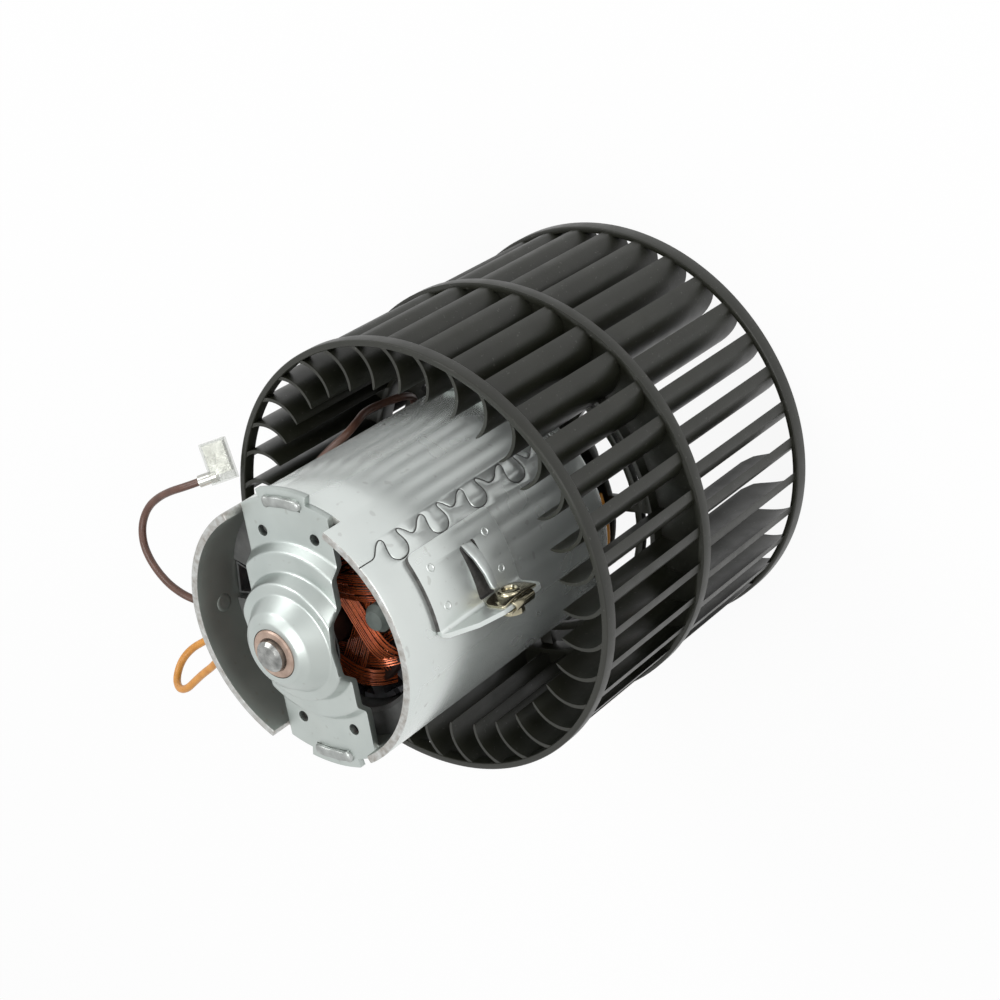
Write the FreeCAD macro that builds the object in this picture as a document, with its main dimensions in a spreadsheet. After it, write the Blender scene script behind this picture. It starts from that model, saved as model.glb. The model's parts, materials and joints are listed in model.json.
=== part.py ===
import FreeCAD, Part
import math
import os
from types import SimpleNamespace

import Sketcher
from FreeCAD import Placement, Rotation, Vector

# Car cabin blower motor: a double-inlet blower wheel on a permanent-magnet motor.
# The wheel stands on its far rim. Z is the motor's axis, up towards the motor's rear bridge,
# and the origin is on the axis in the plane of the far rim. X runs along the bridges.

driving = {
    # Wheel
    "wheelDiameter": 150,
    "wheelLength": 119,
    "rimWall": 2.2,
    "nearRimBand": 4.8,
    "midRimBand": 4.2,
    "farRimBand": 5.4,
    "farRowLength": 60.6,
    "bladeCount": 36,
    "bladeDepth": 16.5,
    "bladeCurve": 11.7,
    "bladeCurveInset": 11.3,
    "bladeCurveLead": 10,
    "bladeWall": 1.1,
    "bladeCornerRadius": 14.2,
    "bladeSeatGap": 0.05,
    "bladeTurn": 2.95,
    "wheelTurn": 3,
    "webWall": 2.4,
    "collarWall": 1.8,
    "collarHeight": 4,
    "spokeCount": 8,
    "spokeWidth": 5,
    "outerWindowDepth": 5.5,
    "windowRing": 2.5,
    "innerWindowDepth": 9.5,
    "coneBaseRadius": 14,
    "coneDepth": 14.5,
    "hubRadius": 11,
    "hubLength": 24,
    "hubFoot": 30,
    "ribWall": 2,
    # Motor can
    "canDiameter": 87.5,
    "canWall": 2.6,
    "canLength": 101,
    "canOverhang": 55,
    "notchDepth": 7.7,
    "notchHalfAngle": 28,
    "lugHalfAngle": 9.5,
    "lugHead": 1.4,
    "dimpleRadius": 3,
    "dimpleDepth": 0.5,
    "dimpleInset": 10.2,
    # Bearing bridges
    "bridgeWall": 2.2,
    "bridgeWidth": 35.2,
    "earReach": 3,
    "earHalfAngle": 12.5,
    "slotClearance": 0.25,
    "bridgeHoleDiameter": 3.75,
    "bridgeHoleSpan": 64,
    "bridgeHoleSpacing": 21.2,
    "raisedRadius": 27.4,
    "raisedHeight": 3.4,
    "domeRadius": 19.5,
    "domeHeight": 15.5,
    "domeShoulderRadius": 17.3,
    "domeShoulderHeight": 8.4,
    "domeConeRadius": 12.8,
    "domeConeHeight": 12.1,
    "domeMouthGap": 0.25,
    # Bearings and shaft
    "shaftDiameter": 10,
    "shaftReach": 2.4,
    "shaftFoot": 24,
    "shaftChamfer": 1,
    "runningClearance": 0.04,
    "bushDiameter": 15.7,
    "bushLength": 14,
    "bushStand": 0.5,
    "bushChamfer": 0.5,
    "ballDepth": 8,
    "ballReach": 4.8,
    "feltDiameter": 27.6,
    "feltBore": 19.1,
    "feltInset": 5,
    "feltLength": 3.2,
    "retainerWall": 0.6,
    "retainerDiameter": 32.6,
    "washerWall": 1,
    "washerDiameter": 17,
    # Magnets
    "magnetWall": 9,
    "magnetSeat": 0.05,
    "magnetAngle": 160,
    "magnetStand": 17.1,
    "magnetInset": 16.2,
    "magnetTurn": -8.5,
    "magnetChamfer": 1.2,
    "clipWall": 0.8,
    "clipDepth": 7,
    # Armature
    "airGap": 0.8,
    "coreStand": 23.3,
    "coreInset": 5.8,
    "slotCount": 12,
    "slotMouth": 2.4,
    "slotLip": 1.8,
    "slotFloorRadius": 15,
    "toothWall": 4.4,
    "windingReach": 11,
    "windingInset": 1.6,
    "sleeveRadius": 8,
    "commutatorDiameter": 24,
    "commutatorLength": 12,
    "commutatorWall": 3.2,
    "commutatorSlot": 0.6,
    "puttyRadius": 4.5,
    "puttyHeight": 2.4,
    "puttySeat": 4,
    "puttyAngle": -76,
    # Brush gear
    "plateWall": 1.6,
    "plateBore": 29,
    "boxWidth": 8.6,
    "boxHeight": 7.4,
    "boxWall": 0.7,
    "boxLength": 17,
    "boxStart": 15,
    "brushLength": 14,
    "brushGap": 0.3,
    "slideGap": 0.15,
    "springGap": 0.9,
    "chokeRadius": 3.3,
    "chokeLength": 10.2,
    "chokeCoreRadius": 2,
    "chokeOffset": 37,
    # Mounting brackets
    "bracketWall": 1.5,
    "bracketLength": 38,
    "bracketInset": 14.6,
    "bracketHalfAngle": 16.3,
    "bracketAngle": -70.5,
    "bracketCorner": 3,
    "flangeReach": 9.5,
    "flangeFlat": 19.6,
    "flangeKneeReach": 6.4,
    "flangeKneeDrop": 9.4,
    "weldRadius": 2.1,
    "weldDepth": 0.35,
    "weldHalfAngle": 7.8,
    "weldSpacing": 26,
    "plateCorner": 2.6,
    "hookWidth": 5,
    "hookLift": 3,
    "hookDrop": 7.4,
    "slotWidth": 4,
    "slotReach": 11.3,
    "slotRoot": 6.7,
    "nutLength": 17,
    "nutWidth": 8.6,
    "nutWall": 0.9,
    "nutThread": 5,
    # Leads and terminals
    "leadDiameter": 2.7,
    "terminalWidth": 7.2,
    "terminalThickness": 3,
    "terminalLength": 10.5,
    "terminalWall": 0.6,
    "barrelDiameter": 4.2,
    "barrelLength": 6.5,
    "sleeveGap": 0.25,
    "sleeveWall": 0.5,
}

document = FreeCAD.newDocument("blower_motor")
sheet = document.addObject("Spreadsheet::Sheet", "Dimensions")
for row, (alias, number) in enumerate(driving.items(), 1):
    sheet.set(f"A{row}", alias)
    sheet.set(f"B{row}", str(number))
    sheet.setAlias(f"B{row}", alias)
document.recompute()


class Size:
    # A number together with the sheet formula that gives it.

    def __init__(self, value, formula):
        self.value = float(value)
        self.formula = formula

    def __add__(self, other):
        return combined(self, "+", other)

    def __radd__(self, other):
        return combined(other, "+", self)

    def __sub__(self, other):
        return combined(self, "-", other)

    def __rsub__(self, other):
        return combined(other, "-", self)

    def __mul__(self, other):
        return combined(self, "*", other)

    def __rmul__(self, other):
        return combined(other, "*", self)

    def __truediv__(self, other):
        return combined(self, "/", other)

    def __rtruediv__(self, other):
        return combined(other, "/", self)

    def __neg__(self):
        return combined(0, "-", self)


def sized(number):
    return number if isinstance(number, Size) else Size(number, f"{number:.12g}")


def combined(left, sign, right):
    left, right = sized(left), sized(right)
    results = {
        "+": left.value + right.value,
        "-": left.value - right.value,
        "*": left.value * right.value,
        "/": left.value / right.value if right.value else 0,
    }
    return Size(results[sign], f"({left.formula} {sign} {right.formula})")


def sine(angle):
    return Size(math.sin(math.radians(sized(angle).value)), f"sin({sized(angle).formula})")


def cosine(angle):
    return Size(math.cos(math.radians(sized(angle).value)), f"cos({sized(angle).formula})")


def arcsine(ratio):
    ratio = sized(ratio)
    return Size(math.degrees(math.asin(ratio.value)), f"(asin({ratio.formula}) / 1 deg)")


d = SimpleNamespace(**{alias: Size(number, f"Dimensions.{alias}") for alias, number in driving.items()})

# Radii and heights that several pieces share

wheelRadius = d.wheelDiameter / 2
bladeTip = wheelRadius - d.bladeDepth
bladeRoot = wheelRadius - d.rimWall / 2
rimBore = wheelRadius - d.rimWall
midTop = d.farRowLength + d.midRimBand
webTop = d.farRowLength + d.midRimBand / 2 + d.webWall / 2
canRadius = d.canDiameter / 2
canBore = canRadius - d.canWall
canTop = d.wheelLength + d.canOverhang
canFoot = canTop - d.canLength
rearFloor = canTop - d.notchDepth
frontFloor = canFoot + d.notchDepth
shaftRadius = d.shaftDiameter / 2
magnetTop = canTop - d.magnetInset
magnetFoot = frontFloor + d.magnetStand
magnetLength = magnetTop - magnetFoot
magnetBore = canBore - d.magnetWall
coreRadius = magnetBore - d.airGap
coreTop = magnetTop - d.coreInset
coreFoot = frontFloor + d.coreStand
coreLength = coreTop - coreFoot
plateFoot = frontFloor
plateTop = plateFoot + d.plateWall
brushHeight = plateTop + d.boxHeight / 2
leadRadius = d.leadDiameter / 2

pieces = {}


def bind(item, field, size):
    item.setExpression(field, sized(size).formula)


def newBody(label):
    body = document.addObject("PartDesign::Body", label)
    body.Label = label
    body.AllowCompound = True
    pieces[label] = body
    return body


def sketchOn(body, name, plane, lift=0, turn=0, turnAxis=(0, 0, 1)):
    sketch = body.newObject("Sketcher::SketchObject", name)
    planes = {feature.Role: feature for feature in body.Origin.OriginFeatures}
    sketch.AttachmentSupport = [(planes[plane], "")]
    sketch.MapMode = "FlatFace"
    angle = sized(turn)
    sketch.AttachmentOffset = Placement(Vector(), Rotation(Vector(*turnAxis), angle.value or 90))
    bind(sketch, "AttachmentOffset.Base.z", lift)
    bind(sketch, "AttachmentOffset.Rotation.Angle", angle)
    return sketch


def dimension(sketch, kind, refs, size):
    size = sized(size)
    index = sketch.addConstraint(Sketcher.Constraint(kind, *refs, size.value))
    sketch.setExpression(f"Constraints[{index}]", size.formula)


def pin(sketch, geometry, point, x, y):
    dimension(sketch, "DistanceX", (-1, 1, geometry, point), x)
    dimension(sketch, "DistanceY", (-1, 1, geometry, point), y)


def outline(sketch, corners, curves=None):
    # A closed line through the corners. curves gives, for the side that starts at a corner,
    # the centre of its arc and +1 or -1 for the way round.
    curves = curves or {}
    start = sketch.GeometryCount
    points = [Vector(sized(x).value, sized(y).value, 0) for x, y in corners]
    ends = []
    for side, point in enumerate(points):
        following = points[(side + 1) % len(points)]
        if side not in curves:
            sketch.addGeometry(Part.LineSegment(point, following))
            ends.append((1, 2))
            continue
        centreX, centreY, way = curves[side]
        centre = Vector(sized(centreX).value, sized(centreY).value, 0)
        first, last = (point, following) if way > 0 else (following, point)
        angles = [math.atan2(spot.y - centre.y, spot.x - centre.x) for spot in (first, last)]
        circle = Part.Circle(centre, Vector(0, 0, 1), (point - centre).Length)
        sketch.addGeometry(Part.ArcOfCircle(circle, *angles))
        ends.append((1, 2) if way > 0 else (2, 1))
    for side in range(len(points)):
        following = (side + 1) % len(points)
        joined = (start + side, ends[side][1], start + following, ends[following][0])
        sketch.addConstraint(Sketcher.Constraint("Coincident", *joined))
    for side, (x, y) in enumerate(corners):
        pin(sketch, start + side, ends[side][0], x, y)
    for side, (centreX, centreY, way) in curves.items():
        chord = points[(side + 1) % len(points)] - points[side]
        if abs(chord.y) > abs(chord.x):
            dimension(sketch, "DistanceX", (-1, 1, start + side, 3), centreX)
        else:
            dimension(sketch, "DistanceY", (-1, 1, start + side, 3), centreY)


def rectangle(sketch, left, bottom, right, top):
    outline(sketch, [(left, bottom), (right, bottom), (right, top), (left, top)])


def circle(sketch, radius, x=0, y=0):
    centre = Vector(sized(x).value, sized(y).value, 0)
    index = sketch.addGeometry(Part.Circle(centre, Vector(0, 0, 1), sized(radius).value))
    dimension(sketch, "Radius", (index,), radius)
    pin(sketch, index, 3, x, y)


def sector(sketch, inner, outer, halfAngle):
    # A piece of a ring, centred on the sketch's X axis.
    corners = [
        (outer * cosine(halfAngle), outer * sine(-halfAngle)),
        (outer * cosine(halfAngle), outer * sine(halfAngle)),
        (inner * cosine(halfAngle), inner * sine(halfAngle)),
        (inner * cosine(halfAngle), inner * sine(-halfAngle)),
    ]
    outline(sketch, corners, {0: (0, 0, 1), 2: (0, 0, -1)})


def window(sketch, inner, outer, count, spoke):
    # The space between two spokes of constant width, centred on the sketch's X axis.
    outerHalf = 180 / count - arcsine(spoke / 2 / outer)
    innerHalf = 180 / count - arcsine(spoke / 2 / inner)
    corners = [
        (outer * cosine(outerHalf), outer * sine(-outerHalf)),
        (outer * cosine(outerHalf), outer * sine(outerHalf)),
        (inner * cosine(innerHalf), inner * sine(innerHalf)),
        (inner * cosine(innerHalf), inner * sine(-innerHalf)),
    ]
    outline(sketch, corners, {0: (0, 0, 1), 2: (0, 0, -1)})


def stamped(sketch, skin, wall, side):
    # The section of a sheet: its skin line, and a line one wall behind it on the given side.
    start = sketch.GeometryCount
    points = [Vector(sized(x).value, sized(y).value, 0) for x, y in skin]
    thickness = sized(wall).value * side
    normals = []
    for first, last in zip(points, points[1:]):
        along = (last - first).normalize()
        normals.append(Vector(-along.y, along.x, 0) * thickness)
    backs = [points[0] + normals[0]]
    for before, after, point in zip(normals, normals[1:], points[1:]):
        middle = before + after
        backs.append(point + middle * (thickness**2 * 2 / middle.dot(middle)))
    backs.append(points[-1] + normals[-1])
    loop = points + backs[::-1]
    count = len(points)
    for index, point in enumerate(loop):
        sketch.addGeometry(Part.LineSegment(point, loop[(index + 1) % len(loop)]))
    for index in range(len(loop)):
        sketch.addConstraint(
            Sketcher.Constraint("Coincident", start + index, 2, start + (index + 1) % len(loop), 1)
        )
    for index, (x, y) in enumerate(skin):
        pin(sketch, start + index, 1, x, y)
    for index in range(count - 1):
        back = start + 2 * count - 2 - index
        sketch.addConstraint(Sketcher.Constraint("Parallel", start + index, back))
        dimension(sketch, "Distance", (back, 2, start + index), wall)
    sketch.addConstraint(Sketcher.Constraint("Perpendicular", start + count - 1, start + count - 2))
    sketch.addConstraint(Sketcher.Constraint("Perpendicular", start + 2 * count - 1, start))


def revolve(body, name, sketch, angle=360, both=False):
    feature = body.newObject("PartDesign::Revolution", name)
    feature.Profile = sketch
    feature.ReferenceAxis = (sketch, ["V_Axis"])
    feature.Midplane = both
    bind(feature, "Angle", angle)
    return feature


def groove(body, name, sketch):
    feature = body.newObject("PartDesign::Groove", name)
    feature.Profile = sketch
    feature.ReferenceAxis = (sketch, ["V_Axis"])
    feature.Angle = 360
    return feature


def pad(body, name, sketch, length, both=False, back=False):
    feature = body.newObject("PartDesign::Pad", name)
    feature.Profile = sketch
    feature.Midplane = both
    feature.Reversed = back
    bind(feature, "Length", length)
    return feature


def pocket(body, name, sketch, depth, both=False, back=False):
    feature = body.newObject("PartDesign::Pocket", name)
    feature.Profile = sketch
    feature.Midplane = both
    feature.Reversed = back
    bind(feature, "Length", depth)
    return feature


def around(body, name, feature, count):
    # Copies of a feature, evenly spaced round Z.
    pattern = body.newObject("PartDesign::PolarPattern", name)
    axes = {origin.Role: origin for origin in body.Origin.OriginFeatures}
    pattern.Originals = [feature]
    pattern.Axis = (axes["Z_Axis"], [""])
    pattern.Angle = 360
    bind(pattern, "Occurrences", count)
    body.Tip = pattern
    return pattern


def ring(body, name, inner, outer, bottom, top):
    sketch = sketchOn(body, name + "Section", "XZ_Plane")
    rectangle(sketch, inner, bottom, outer, top)
    return revolve(body, name, sketch)


def tube(label, inner, outer, bottom, top):
    body = newBody(label)
    ring(body, label + "Ring", inner, outer, bottom, top)
    return body


def turned(body, angle):
    # The body turned about Z from the X axis to its own place.
    body.Placement = Placement(Vector(), Rotation(Vector(0, 0, 1), sized(angle).value or 90))
    bind(body, "Placement.Rotation.Angle", angle)


def makeWheelWeb():
    # The middle of the wheel: hub, cone, ribs and pierced web, with the middle rim and the collar.
    body = newBody("wheel_web")
    webFoot = webTop - d.webWall
    collarBore = bladeTip - d.collarWall
    ring(body, "midRim", rimBore, wheelRadius, d.farRowLength, midTop)
    ring(body, "collar", collarBore, bladeTip, webFoot, webTop + d.collarHeight)
    innerWindow = collarBore - d.outerWindowDepth - d.windowRing
    coneTop = innerWindow - d.innerWindowDepth - 1
    coneFoot = webTop - d.coneDepth
    web = sketchOn(body, "webSection", "XZ_Plane")
    skin = [
        (bladeRoot, webTop),
        (coneTop, webTop),
        (d.coneBaseRadius, coneFoot),
        (d.hubRadius - 1, coneFoot),
    ]
    stamped(web, skin, d.webWall, 1)
    revolve(body, "web", web)
    ring(body, "hub", shaftRadius, d.hubRadius, d.hubFoot, d.hubFoot + d.hubLength)

    rib = sketchOn(body, "ribSection", "XZ_Plane", turn=d.wheelTurn, turnAxis=(0, 1, 0))
    ribCorners = [
        (d.hubRadius - 1, d.hubFoot + 2),
        (d.hubRadius + 2, d.hubFoot + 2),
        (coneTop, webFoot),
        (coneTop - 4, webFoot),
        (d.hubRadius - 1, coneFoot - d.webWall),
    ]
    outline(rib, ribCorners)
    ribPad = pad(body, "rib", rib, d.ribWall, both=True)
    around(body, "ribs", ribPad, d.spokeCount)

    halfPitch = 180 / d.spokeCount + d.wheelTurn
    bands = {
        "outerWindow": (collarBore - d.outerWindowDepth, collarBore),
        "innerWindow": (innerWindow - d.innerWindowDepth, innerWindow),
    }
    for name, (inner, outer) in bands.items():
        opening = sketchOn(body, name + "Shape", "XY_Plane", lift=webTop + 1, turn=halfPitch)
        window(opening, inner, outer, d.spokeCount, d.spokeWidth)
        cut = pocket(body, name, opening, d.webWall + 2)
        around(body, name + "s", cut, d.spokeCount)


def makeWheelRows():
    # The two rims and the two rows of blades, which stop at the rims' seats.
    nearRimFoot = d.wheelLength - d.nearRimBand
    tube("near_rim", rimBore, wheelRadius, nearRimFoot, d.wheelLength)
    tube("far_rim", rimBore, wheelRadius, 0, d.farRimBand)
    rows = {
        "near": (webTop, d.wheelLength, nearRimFoot, d.wheelLength + 1, d.bladeTurn),
        "far": (0, webTop - d.webWall, -1, d.farRimBand, d.bladeTurn + 180 / d.bladeCount),
    }
    for name, (foot, top, rimFoot, rimTop, turn) in rows.items():
        body = newBody(name + "_blades")
        blade = bladeRow(body, name, bladeRoot, foot, top, turn)
        around(body, name + "Blades", blade, d.bladeCount)
        seats = {"Rim": (rimFoot, rimTop), "Middle": (d.farRowLength, midTop)}
        for seat, (low, high) in seats.items():
            section = sketchOn(body, name + seat + "SeatSection", "XZ_Plane")
            gap = d.bladeSeatGap
            rectangle(section, rimBore - gap, low - gap, wheelRadius + 1, high + gap)
            groove(body, name + seat + "Seat", section)
    trim = sketchOn(body, "cornerSection", "XZ_Plane")
    start, reach = bladeTip, bladeTip + d.bladeCornerRadius
    corners = [
        (start - 2, -1),
        (reach, -1),
        (reach, 0),
        (start, d.bladeCornerRadius),
        (start - 2, d.bladeCornerRadius),
    ]
    outline(trim, corners, {2: (reach, d.bladeCornerRadius, -1)})
    groove(body, "bladeCorners", trim)


def bladeRow(body, name, root, bottom, top, turn):
    # One forward-curved blade: two arcs about one centre, cut off at the tip and root radii.
    sketch = sketchOn(body, name + "BladeSection", "XY_Plane", lift=bottom, turn=turn)
    centreRadius = wheelRadius - d.bladeCurveInset
    centreX = centreRadius * cosine(d.bladeCurveLead)
    centreY = centreRadius * sine(d.bladeCurveLead)
    centre = Vector(centreX.value, centreY.value, 0)
    curves = [d.bladeCurve - d.bladeWall / 2, d.bladeCurve + d.bladeWall / 2]
    for curve in curves:
        ends = []
        for limit in (bladeTip, root):
            spread = limit.value**2 - centreRadius.value**2 - curve.value**2
            swing = math.acos(spread / (2 * centreRadius.value * curve.value))
            ends.append(math.radians(d.bladeCurveLead.value) - swing)
        whole = Part.Circle(centre, Vector(0, 0, 1), curve.value)
        arc = sketch.addGeometry(Part.ArcOfCircle(whole, *ends))
        dimension(sketch, "Radius", (arc,), curve)
        pin(sketch, arc, 3, centreX, centreY)
    for limit in (bladeTip, root):
        guide = sketch.addGeometry(Part.Circle(Vector(), Vector(0, 0, 1), limit.value), True)
        sketch.addConstraint(Sketcher.Constraint("Coincident", guide, 3, -1, 1))
        dimension(sketch, "Radius", (guide,), limit)
    for end, guide in ((1, 2), (2, 3)):
        sketch.addConstraint(Sketcher.Constraint("PointOnObject", 0, end, guide))
        sketch.addConstraint(Sketcher.Constraint("PointOnObject", 1, end, guide))
        spots = [sketch.getPoint(arc, end) for arc in (0, 1)]
        line = sketch.addGeometry(Part.LineSegment(*spots))
        sketch.addConstraint(Sketcher.Constraint("Coincident", line, 1, 0, end))
        sketch.addConstraint(Sketcher.Constraint("Coincident", line, 2, 1, end))
    return pad(body, name + "Blade", sketch, top - bottom)


def makeMotorCan():
    body = newBody("motor_can")
    ring(body, "canWallTube", canBore, canRadius, canFoot, canTop)
    ends = {"rear": (canTop, rearFloor, False), "front": (canFoot, frontFloor, True)}
    for name, (edge, floor, upward) in ends.items():
        notch = sketchOn(body, name + "NotchShape", "XY_Plane", lift=edge)
        sector(notch, canBore - 2, canRadius + 2, d.notchHalfAngle)
        cut = pocket(body, name + "Notch", notch, d.notchDepth, back=upward)
        around(body, name + "Notches", cut, 2)
        lug = sketchOn(body, name + "LugShape", "XY_Plane", lift=floor)
        sector(lug, canBore, canRadius, d.lugHalfAngle)
        grown = pad(body, name + "Lug", lug, d.bridgeWall + d.lugHead, back=upward)
        around(body, name + "Lugs", grown, 2)
    dimpleHeight = canTop - d.dimpleInset
    dent = sketchOn(body, "dentShape", "XZ_Plane", lift=canRadius + 1)
    circle(dent, d.dimpleRadius, 0, dimpleHeight)
    dentCut = pocket(body, "dent", dent, 1 + d.dimpleDepth)
    around(body, "dents", dentCut, 2)
    bump = sketchOn(body, "bumpShape", "XZ_Plane", lift=canBore - d.dimpleDepth)
    circle(bump, d.dimpleRadius, 0, dimpleHeight)
    bumpPad = pad(body, "bump", bump, d.dimpleDepth * 2)
    around(body, "bumps", bumpPad, 2)


def makeBridge(label, floor, way):
    # A stamped strip across the can: flat ends, a raised middle and a dome with a drawn collar.
    body = newBody(label)
    face = floor + way * d.bridgeWall
    mouth = d.bushDiameter / 2 + d.domeMouthGap
    skin = [
        (canRadius, 0),
        (d.raisedRadius + 2.6, 0),
        (d.raisedRadius, d.raisedHeight),
        (d.domeRadius, d.raisedHeight),
        (d.domeShoulderRadius, d.domeShoulderHeight),
        (d.domeConeRadius, d.domeConeHeight),
        (mouth + 1.2, d.domeHeight),
        (mouth, d.domeHeight),
    ]
    section = sketchOn(body, label + "Section", "XZ_Plane")
    stamped(section, [(radius, face + way * rise) for radius, rise in skin], d.bridgeWall, way)
    revolve(body, label + "Dome", section)

    sides = sketchOn(body, label + "Sides", "XY_Plane", lift=face)
    reach = canRadius + 1
    rectangle(sides, -reach, d.bridgeWidth / 2, reach, reach)
    rectangle(sides, -reach, -reach, reach, -d.bridgeWidth / 2)
    pocket(body, label + "Strip", sides, d.domeHeight * 3, both=True)

    upward = way > 0
    ear = sketchOn(body, label + "EarShape", "XY_Plane", lift=floor)
    sector(ear, canRadius - 3, canRadius + d.earReach, d.earHalfAngle)
    around(body, label + "Ears", pad(body, label + "Ear", ear, d.bridgeWall, back=not upward), 2)
    slot = sketchOn(body, label + "SlotShape", "XY_Plane", lift=face)
    slotAngle = d.lugHalfAngle + d.slotClearance
    sector(slot, canBore - d.slotClearance, canRadius + d.slotClearance, slotAngle)
    around(body, label + "Slots", pocket(body, label + "Slot", slot, d.bridgeWall * 2, both=True), 2)
    holes = sketchOn(body, label + "HoleShape", "XY_Plane", lift=face)
    for x in (-d.bridgeHoleSpan / 2, d.bridgeHoleSpan / 2):
        for y in (-d.bridgeHoleSpacing / 2, d.bridgeHoleSpacing / 2):
            circle(holes, d.bridgeHoleDiameter / 2, x, y)
    pocket(body, label + "Holes", holes, d.bridgeWall * 3, both=True)


def makeBearing(name, floor, way):
    # A bush with a ball-shaped waist in the dome, the oil felt round it and the spring that holds both.
    domeFoot = floor + way * d.bridgeWall
    face = domeFoot + way * (d.domeHeight + d.bushStand)
    bore = shaftRadius + d.runningClearance
    bush = newBody(name + "_bearing")
    section = sketchOn(bush, name + "BushSection", "XZ_Plane")
    inner = face - way * d.bushLength
    radius = d.bushDiameter / 2
    chamfer = d.bushChamfer
    ballCentre = face - way * d.ballDepth
    ballReach = d.ballReach * way
    corners = [
        (bore, inner),
        (radius, inner),
        (radius, ballCentre - ballReach),
        (radius, ballCentre + ballReach),
        (radius, face - way * chamfer),
        (radius - chamfer, face),
        (bore + chamfer, face),
        (bore, face - way * chamfer),
    ]
    outline(section, corners, {2: (0, ballCentre, way)})
    revolve(bush, name + "Bush", section)

    heights = {
        "felt": (d.feltInset, d.feltInset + d.feltLength),
        "retainer": (d.feltInset - d.retainerWall, d.feltInset),
    }
    bores = {"felt": d.feltBore / 2, "retainer": d.feltBore / 2 - 0.3}
    rims = {"felt": d.feltDiameter / 2, "retainer": d.retainerDiameter / 2}
    for piece, (low, high) in heights.items():
        ends = sorted([domeFoot + way * low, domeFoot + way * high], key=lambda size: size.value)
        tube(f"{name}_{piece}", bores[piece], rims[piece], *ends)


def makeMagnets():
    for number, label in enumerate(("magnet_a", "magnet_b")):
        body = newBody(label)
        foot = sketchOn(body, label + "Shape", "XY_Plane", lift=magnetFoot)
        # The arc's flat ends lie along its radii, and its span is over half a turn less the clips.
        half = d.magnetAngle / 2
        seat = canBore - d.magnetSeat
        corners = [
            (seat * cosine(half), seat * sine(-half)),
            (seat * cosine(half), seat * sine(half)),
            (magnetBore * cosine(half), magnetBore * sine(half)),
            (magnetBore * cosine(half), magnetBore * sine(-half)),
        ]
        outline(foot, corners, {0: (0, 0, 1), 2: (0, 0, -1)})
        pad(body, label + "Arc", foot, magnetLength)
        bevel = sketchOn(body, label + "BevelSection", "XZ_Plane")
        chamfer = d.magnetChamfer
        corners = [
            (magnetBore - 1, magnetTop + 1),
            (magnetBore + chamfer + 1, magnetTop + 1),
            (magnetBore - 1, magnetTop - chamfer - 1),
        ]
        outline(bevel, corners)
        groove(body, label + "Bevel", bevel)
        turned(body, d.magnetTurn + 180 * number)


def makeMagnetClips():
    gap = (180 - d.magnetAngle) / 2
    for number, label in enumerate(("magnet_clip_a", "magnet_clip_b")):
        body = newBody(label)
        section = sketchOn(body, label + "Section", "XY_Plane", lift=magnetFoot)
        half = canBore * sine(gap) - 1.4
        back = canBore * cosine(gap)
        front = back - d.clipDepth
        lean = half - d.clipDepth * sine(gap) - 0.4
        wall = d.clipWall
        corners = [
            (back, -half),
            (back, half),
            (front, lean),
            (front, lean - wall),
            (back - wall, half - wall),
            (back - wall, -half + wall),
            (front, -lean + wall),
            (front, -lean),
        ]
        outline(section, corners)
        pad(body, label + "Strip", section, magnetLength - 1)
        turned(body, d.magnetTurn + 90 + 180 * number)


def makeShaft():
    body = newBody("motor_shaft")
    top = rearFloor + d.bridgeWall + d.domeHeight + d.bushStand + d.shaftReach
    section = sketchOn(body, "shaftSection", "XZ_Plane")
    chamfer = d.shaftChamfer
    corners = [
        (0, d.shaftFoot),
        (shaftRadius - chamfer, d.shaftFoot),
        (shaftRadius, d.shaftFoot + chamfer),
        (shaftRadius, top - chamfer),
        (shaftRadius - chamfer, top),
        (0, top),
    ]
    outline(section, corners)
    revolve(body, "shaft", section)


def slotCorners(clearance):
    # Half of the room between two teeth grows with the radius, less half a tooth.
    halfPitch = 180 / d.slotCount
    outer = coreRadius - d.slotLip - clearance
    inner = d.slotFloorRadius + clearance
    outerHalf = outer * sine(halfPitch) - d.toothWall / 2 - clearance
    innerHalf = inner * sine(halfPitch) - d.toothWall / 2 - clearance
    return inner, outer, innerHalf, outerHalf


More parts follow.
